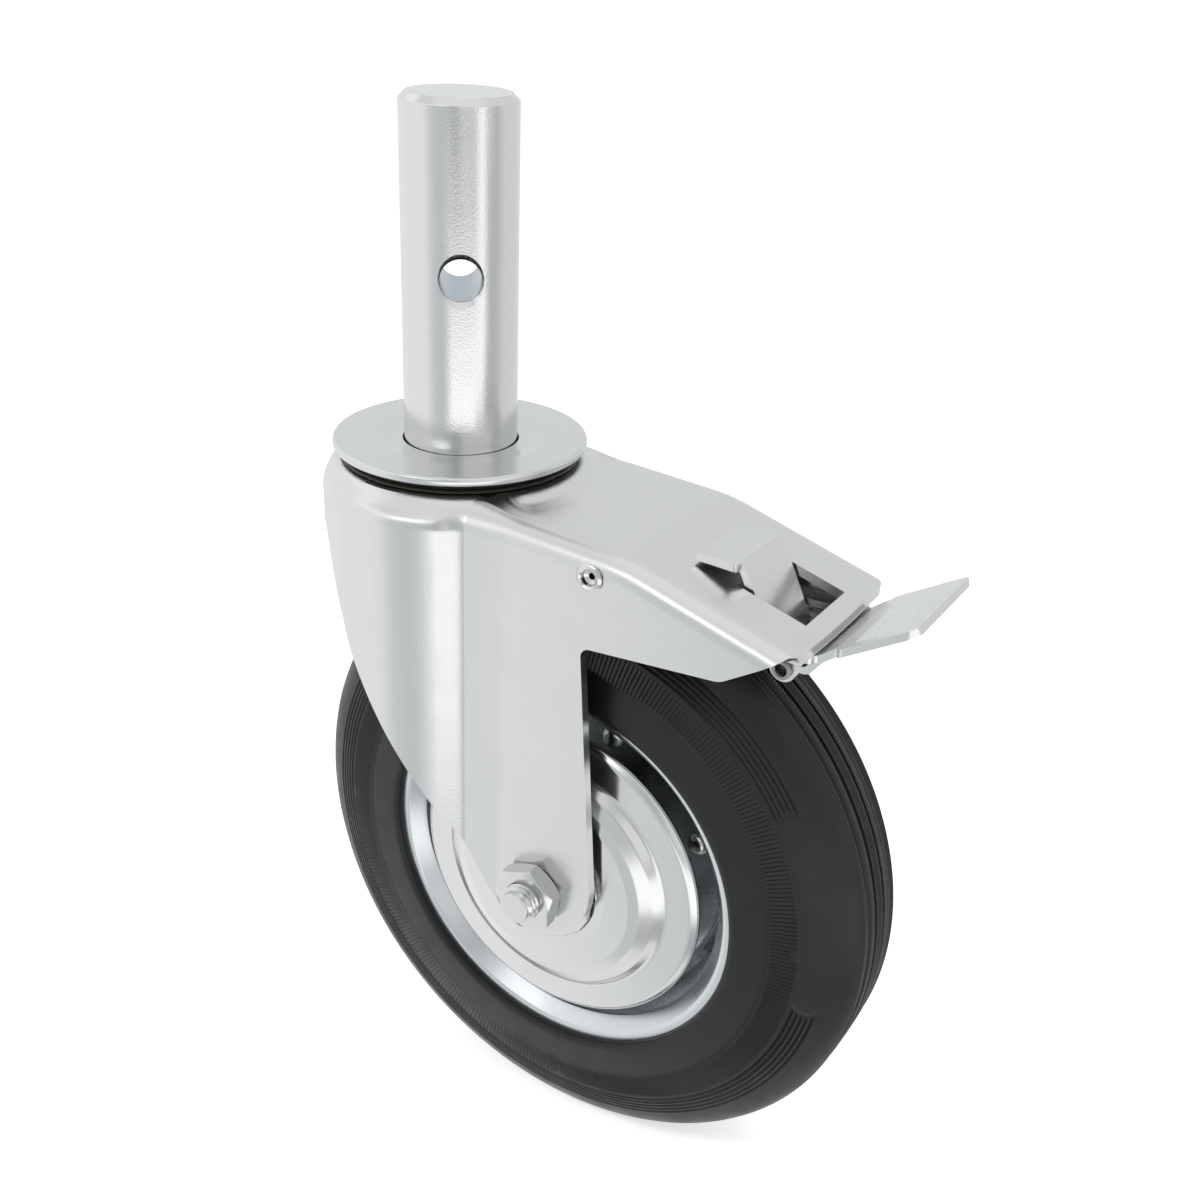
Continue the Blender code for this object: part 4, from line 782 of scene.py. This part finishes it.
finishPiece("brakePedal", makePedal(pedalSizes), "brake_pedal", finishes["pedal"],
            ["pedal"], 30)
# the ridges' pale tint is a painted highlight
finishPiece("treadRidges", makeRidges(pedalSizes), "brake_pedal", finishes["ridgeHighlight"])


# the brake plate's turned-out edge under the window

plateEdgeBoxes = {"flap": ((88, 16.5, -34.2), (112, 24.5, -33.0)),
                  "step": ((105, 20.6, -36.6), (111.5, 24.4, -33.2)),
                  "lip": ((104.5, 20.7, -36.7), (117.8, 25.0, -35.3))}
plateEdges = join(*[box(*corners) for corners in plateEdgeBoxes.values()])
finishPiece("plateEdges", softenEdges(plateEdges, 0.25), "brake", finishes["spring"])


# the pin that the pedal turns on

pinSizes = {"radius": 1.8, "head": 2.9, "seat": 20.2, "end": 21.5, "cup": 1.9, "cupDeep": 3.5}


def makePin(size):
    cup, end, seat = size["cup"], size["end"], size["seat"]
    half = soften([(0, end - size["cupDeep"]), (cup - 0.5, end - size["cupDeep"]), (cup - 0.5, end - 1.2),
                   (cup, end, 0.3), (size["head"], end, 0.4), (size["head"], seat, 0.2),
                   (size["radius"], seat)], 4, False)
    return lathe(half + mirrored(half), 64, along(*pedalSizes["pin"]), closed=False)


# painted shade: the pin takes the dark steel finish, for its end sits in shadow at the hood's corner
finishPiece("pedalPin", makePin(pinSizes), "brake", finishes["darkSteelAndShade"], ["pedal_pin"])
stamp("pedal made")


# the tyre: plain wall, serrated ring, five grooves broken by a bare panel, smooth shoulder

tyreSizes = {"radius": 100.0, "half": 25.0, "treadHalf": 9.2, "depth": 60.0, "steps": 720,
             "serrated": (73.5, 83.2), "serration": 0.22, "grooves": (84.6, 86.1, 87.6, 89.1, 90.6),
             "grooveHalf": 0.55, "grooveDeep": 0.55, "panel": (-12.0, 32.0), "panelRadius": (83.9, 91.6),
             "panelLine": 0.3}


def wallWidth(size, radius):
    rise = (radius - size["radius"] + size["depth"]) / size["depth"]
    return size["treadHalf"] + (size["half"] - size["treadHalf"]) * math.sqrt(max(0, 1 - rise * rise))


def panelReach(size, radius, angle):
    # how far a place lies outside the rounded panel, in millimetres
    low, high = size["panel"]
    inner, outer = size["panelRadius"]
    middleRadius, tall = (inner + outer) / 2, (outer - inner) / 2
    span = math.radians(high - low) / 2 * middleRadius - tall
    turn = math.radians((angle - (low + high) / 2 + 180) % 360 - 180) * middleRadius
    return math.hypot(max(0, abs(turn) - span), radius - middleRadius) - tall


def makeTyre(size):
    wide = size["grooveHalf"]
    wall = [99.7, 99.0, 98.0, 96.8, 95.4, 94.0, 92.8]
    for groove in reversed(size["grooves"]):
        wall += [groove + wide, groove + 0.28, groove, groove - 0.28, groove - wide]
    low, high = size["serrated"]
    wall += [high + 0.3, high, high - 0.5, 80.5, 78.5, 76.0, low + 0.5, low, 72, 70, 68, 66, 64.6, 63.4]
    half = [(98.6, 0), (98.6, 8.6)] + [(radius, wallWidth(size, radius)) for radius in wall]
    half += [(62.4, wallWidth(size, 62.4) - 0.25), (61.9, 23.2), (61.6, 22.0), (61.6, 20.2), (58.8, 19.4),
             (54.6, 5), (54.2, 0)]
    shape = lathe(mirrored(half[1:-1]) + half, size["steps"])
    for vert in shape.verts:
        radius = vert.co.xy.length / mm
        side = 1 if vert.co.z > 0 else -1
        if abs(vert.co.z) / mm < 12 or radius < 63:
            continue
        angle = math.degrees(math.atan2(vert.co.y, vert.co.x))
        column = round((angle % 360) / 360 * size["steps"])
        sink = 0.0
        if low <= radius <= high:
            sink += size["serration"] * (1 if column % 2 else -1)
        reach = panelReach(size, radius, angle)
        for groove in size["grooves"]:      # full depth on the groove's line, less beside it
            if abs(radius - groove) < 0.4:
                share = 1 if abs(radius - groove) < 0.2 else 0.62
                sink += size["grooveDeep"] * share * smoothStep(0.0, 1.2, reach)
        sink += size["panelLine"] * (1 - smoothStep(0.1, 0.75, abs(reach - 0.3)))
        vert.co.z -= side * sink * mm
    bmesh.ops.transform(shape, matrix=nearSide, verts=shape.verts)
    return shape


treadSizes = {"steps": 1080, "tooth": 0.24}


def makeTread(size):
    # the running band: a ribbed centre, two grooves, and a serrated band beside each
    half = [(100.0, 0.0), (99.86, 0.35), (100.0, 0.7), (99.86, 1.05), (100.0, 1.4), (99.86, 1.75),
            (99.95, 2.1), (98.3, 2.5), (98.2, 3.1), (99.9, 3.5), (99.95, 3.9), (99.95, 5.6), (99.5, 6.1),
            (98.9, 6.35), (98.8, 6.7), (99.3, 7.0), (99.4, 7.4), (99.3, 8.4), (98.9, 9.4), (98.4, 10.6),
            (97.6, 11.9), (96.6, 11.6), (96.4, 0)]
    shape = lathe(mirrored(half[1:-1]) + half, size["steps"])
    for vert in shape.verts:
        radius, height = vert.co.xy.length / mm, abs(vert.co.z) / mm
        column = round((math.atan2(vert.co.y, vert.co.x) % math.tau) / math.tau * size["steps"])
        if column % 2 and radius > 98 and (3.45 < height < 5.7 or 6.95 < height < 8.5):
            vert.co.xy *= 1 - size["tooth"] / radius
    bmesh.ops.transform(shape, matrix=nearSide, verts=shape.verts)
    return shape


finishPiece("tyreWalls", makeTyre(tyreSizes), "wheel", finishes["tyre"], ["tyre"], 40)
finishPiece("tyreTread", makeTread(treadSizes), "wheel", finishes["tyre"], (), 40)
stamp("tyre made")


# the rim halves, the hub discs and the rivets

rimSizes = {"outer": 62.0, "face": 21.4, "lip": 57.4, "seat": 51.6, "web": 0.3, "sheet": 2.0, "hub": 18.8}
discSizes = {"edge": 50.5, "face": 28.6, "hub": 18.8, "sheet": 1.4}
rimRivetSizes = {"circle": 42.0, "count": 6, "first": 20.0, "dome": 3.6, "high": 2.6, "shank": 2.4}


def makeRimHalf(size, place):
    face, web, sheet = size["face"], size["web"], size["sheet"]
    lip, seat, hub, outer = size["lip"], size["seat"], size["hub"], size["outer"]
    profile = soften([(outer, face, 0.7), (lip + 1.7, face, 2), (lip - 2.6, face - 4.6, 2),
                      (seat + 0.2, 6.6, 3.5), (seat - 2.4, web + sheet, 2.4), (hub, web + sheet), (hub, web),
                      (seat - 0.2, web, 3), (seat + 2.0, 5.2, 3), (lip - 0.9, face - 5.2, 1.5),
                      (lip + 1.6, face - sheet, 1), (outer, face - sheet, 0.6)], 5)
    return lathe(profile, 240, place)


def makeDisc(size, place):
    sheet, edge, face = size["sheet"], size["edge"], size["face"]
    front = [(edge - 0.9, 18.6), (edge, 19.6, 0.8), (edge, 21.0, 1.4), (48.6, 22.5, 2.2), (39.9, 22.9, 2.6),
             (37.4, 25.6, 2.4), (33.6, 27.5, 3.5), (30.5, 28.3, 3), (22, face, 2), (size["hub"], face)]
    back = [(size["hub"], face - sheet), (22, face - sheet, 1), (31, 28.3 - sheet, 2),
            (34, 27.3 - sheet, 2), (37.0, 25.2 - sheet, 1), (39.4, 22.9 - sheet, 2), (48.2, 22.4 - sheet, 1),
            (edge - sheet, 20.5, 0.6), (edge - sheet - 0.3, 18.6)]
    return lathe(soften(front + back, 4), 240, place)


def makeRimRivet(size, index):
    seat = rimSizes["web"] + rimSizes["sheet"] + 0.15
    top, dome = seat + size["high"], size["dome"]
    half = [(0, top), (dome * 0.35, top - 0.12), (dome * 0.65, top - 0.5), (dome * 0.88, top - 1.25),
            (dome, top - 2.1), (dome, seat + 0.1), (dome - 0.2, seat), (size["shank"], seat)]
    angle = math.radians(size["first"]) + math.tau * index / size["count"]
    spot = moved(size["circle"] * math.cos(angle), 0, size["circle"] * math.sin(angle))
    return lathe(half + mirrored(half), 48, spot @ nearSide, closed=False)


for word, place in (("near", nearSide), ("far", farSide)):
    finishPiece(word + "RimHalf", makeRimHalf(rimSizes, place), "wheel", finishes["rim"],
                ["rim_half_" + word])
    finishPiece(word + "HubDisc", makeDisc(discSizes, place), "wheel", finishes["disc"],
                ["hub_disc_" + word])
for index in range(rimRivetSizes["count"]):
    finishPiece(f"rimRivet{index + 1}", makeRimRivet(rimRivetSizes, index), "wheel", finishes["rivet"],
                [f"rim_rivet_{index + 1}"])
stamp("wheel made")


# CAD nodes that keep their shape get their finish here

keptFinishes = {"upper_ball_cage": "darkSteelAndShade", "lower_ball_cage": "darkSteelAndShade", "lower_race_cup": "darkSteelAndShade",
                "swivel_lock_ring": "darkSteelAndShade", "axle_sleeve": "darkSteelAndShade", "hub_tube": "darkSteelAndShade",
                "king_nut": "bolt", "brake_plate": "spring", "hub_cap_near": "rivet",
                "hub_cap_far": "nylon", "roller_cage": "nylon"}
for index in range(1, 9):
    keptFinishes[f"roller_{index}"] = "darkSteelAndShade"
for name, finish in keptFinishes.items():
    nodes[name].data.materials.clear()
    nodes[name].data.materials.append(finishes[finish])


# floor, lamps and camera

floorLook = {"height": -227.65, "tint": (0.8, 0.8, 0.8), "rough": 0.9, "glow": 0.62}


def makeFloor(look):
    # a pale floor that the camera sees brighter than its light makes it
    shape = bmesh.new()
    bmesh.ops.create_grid(shape, x_segments=1, y_segments=1, size=12)
    bmesh.ops.translate(shape, verts=shape.verts, vec=(0, 0, look["height"] * mm))
    floor = looseObject(shape, "paleFloor")
    material, tree, shader = shaderOf("paleFloor")
    feed(tree, shader, {"Base Color": look["tint"], "Roughness": look["rough"], "Specular IOR Level": 0.0})
    plain = shader.outputs["BSDF"]
    glow = feed(tree, tree.nodes.new("ShaderNodeEmission"), {"Strength": look["glow"]})["Emission"]
    lit = feed(tree, tree.nodes.new("ShaderNodeAddShader"), {0: plain, 1: glow})["Shader"]
    seen = tree.nodes.new("ShaderNodeLightPath").outputs["Is Camera Ray"]
    pick = feed(tree, tree.nodes.new("ShaderNodeMixShader"), {"Fac": seen, 1: plain, 2: lit})["Shader"]
    feed(tree, tree.nodes["Material Output"], {"Surface": pick})
    floor.data.materials.append(material)
    floor.visible_glossy = False


def makeWorld():
    # white to the camera and in reflections, and half as bright as a light
    world = bpy.data.worlds.new("studio")
    world.use_nodes = True
    bpy.context.scene.world = world
    tree = world.node_tree
    rays = tree.nodes.new("ShaderNodeLightPath").outputs
    seen = addMath(tree, "MAXIMUM", rays["Is Camera Ray"], rays["Is Glossy Ray"])
    seen = addMath(tree, "MAXIMUM", seen, rays["Is Transmission Ray"])
    level = addRange(tree, seen, 0.5, 1, 0, 1)
    feed(tree, tree.nodes["Background"], {"Color": (1, 1, 1), "Strength": level})


lampLooks = {"keyPanel": ((-0.12, -1.05, 1.2), (0.03, 0, -0.08), 0.36, 8),
             "sidePanel": ((1.0, -0.5, 1.3), (0.03, 0, -0.1), 0.6, 5),
             "topPanel": ((0.1, 0.2, 1.5), (0.03, 0, -0.1), 0.9, 8)}


def makeLamp(name, place, target, size, watts):
    data = bpy.data.lights.new(name, "AREA")
    data.size = size
    data.energy = watts
    lamp = addObject(name, data)
    lamp.location = place
    lamp.rotation_mode = "QUATERNION"
    lamp.rotation_quaternion = (Vector(target) - Vector(place)).to_track_quat("-Z", "Y")
    lamp.visible_glossy = False


# a wall's stop is an angle and its colour; a panel goes from left to right in degrees and from bottom to
# top in metres, and its last two values are the softness of its left edge and its brightness
tentLook = {"radius": 1.5, "low": -2.3, "high": 3.0, "rightSoft": 4, "bottomSoft": 0.15, "topSoft": 0.08,
            "walls": ((-180, (0.84, 0.86, 0.86)), (-130, (0.88, 0.9, 0.9)), (-100, (1.035, 1.045, 1.04)),
                      (-36, (1.05, 1.055, 1.045)), (-30, (1.02, 1.03, 1.02)), (-26, (0.96, 0.98, 0.98)),
                      (-22, (0.82, 0.85, 0.86)), (-8, (0.7, 0.74, 0.75)), (15, (0.68, 0.71, 0.72)),
                      (30, (0.5, 0.51, 0.52)), (66, (0.52, 0.53, 0.54)), (92, (0.6, 0.61, 0.62)),
                      (112, (0.62, 0.63, 0.64)), (128, (0.84, 0.85, 0.85)), (180, (0.84, 0.86, 0.86))),
            "panels": ((-200, 200, 1.25, 4.0, 6, 0.88), (36, 104, -0.12, 1.5, 8, 0.95),
                       (13, 88, -1.15, -0.3, 9, 1.45), (72, 88, -0.5, 0.1, 4, 1.35),
                       (-85, -46, -2.6, -1.3, 6, 1.12), (-105, -22, 0.85, 1.5, 6, 1.2),
                       (-22, 10, 0.85, 1.55, 5, 2.0))}


def makeWalls(tree, walls, turn):
    # a colour ramp round the tent
    ramp = tree.nodes.new("ShaderNodeValToRGB")
    stops = ramp.color_ramp.elements
    while len(stops) > 1:
        stops.remove(stops[-1])
    stops[0].position = 0
    stops[0].color = (*walls[0][1], 1)
    for angle, shade in walls[1:]:
        stops.new((angle + 180) / 360).color = (*shade, 1)
    return feed(tree, ramp, {"Fac": addMath(tree, "MULTIPLY_ADD", turn, 1 / 360, 0.5)})["Color"]


def makeTent(look):
    # a light tent that only the metal sees: grey and white walls with brighter and darker panels on them
    shape = bmesh.new()
    bmesh.ops.create_cone(shape, cap_ends=False, segments=96, radius1=look["radius"],
                          radius2=look["radius"], depth=look["high"] - look["low"])
    bmesh.ops.translate(shape, verts=shape.verts, vec=(0, 0, (look["high"] + look["low"]) / 2))
    tent = looseObject(shape, "lightTent")
    material, tree = shaderOf("lightTent")[:2]
    place = splitPlace(tree)
    turn = addMath(tree, "ARCTAN2", place["X"], addMath(tree, "MULTIPLY", place["Y"], -1))
    turn = addMath(tree, "MULTIPLY", turn, 180 / math.pi)

    def within(source, low, high, lowSoft, highSoft):
        rise = addRange(tree, source, 0, 1, low - lowSoft, low + lowSoft, "SMOOTHSTEP")
        fall = addRange(tree, source, 0, 1, high + highSoft, high - highSoft, "SMOOTHSTEP")
        return addMath(tree, "MULTIPLY", rise, fall)

    colour = makeWalls(tree, look["walls"], turn)
    for left, right, bottom, top, leftSoft, level in look["panels"]:
        across = within(turn, left, right, leftSoft, look["rightSoft"])
        upward = within(place["Z"], bottom, top, look["bottomSoft"], look["topSoft"])
        colour = addMix(tree, addMath(tree, "MULTIPLY", across, upward), colour, (level, level, level))
    glow = feed(tree, tree.nodes.new("ShaderNodeEmission"), {"Color": colour})["Emission"]
    feed(tree, tree.nodes["Material Output"], {"Surface": glow})
    tent.data.materials.append(material)
    tent.visible_camera = False
    tent.visible_diffuse = False
    tent.visible_shadow = False
    tent.visible_transmission = False


cameraLook = {"azimuth": 28.95, "elevation": 23.57, "roll": 3.09, "away": 459.65, "across": 62.32,
              "up": -32.81, "focal": 1496.03, "centre": (663.95, 539.74), "picture": 1200, "sensor": 36}


def makeCamera(look):
    azimuth, elevation, roll = (math.radians(look[key]) for key in ("azimuth", "elevation", "roll"))
    flat = math.cos(elevation)
    back = Vector((math.sin(azimuth) * flat, -math.cos(azimuth) * flat, math.sin(elevation)))
    right = Vector((math.cos(azimuth), math.sin(azimuth), 0))
    up = back.cross(right)
    across = right * math.cos(roll) + up * math.sin(roll)
    upright = up * math.cos(roll) - right * math.sin(roll)
    data = bpy.data.cameras.new("photoView")
    picture = look["picture"]
    data.sensor_width = look["sensor"]
    data.lens = look["sensor"] * look["focal"] / picture
    data.shift_x = (picture / 2 - look["centre"][0]) / picture
    data.shift_y = (look["centre"][1] - picture / 2) / picture
    data.clip_start = 0.01
    data.clip_end = 50
    camera = addObject("photoView", data)
    place = (across * look["across"] + upright * look["up"] + back * look["away"]) * mm
    turn = Matrix((across, upright, back)).transposed().to_4x4()
    camera.matrix_world = Matrix.Translation(place) @ turn
    bpy.context.scene.camera = camera


makeFloor(floorLook)
makeWorld()
for name, look in lampLooks.items():
    makeLamp(name, *look)
makeTent(tentLook)
makeCamera(cameraLook)
bpy.context.scene.view_settings.view_transform = "Standard"
stamp("studio made")
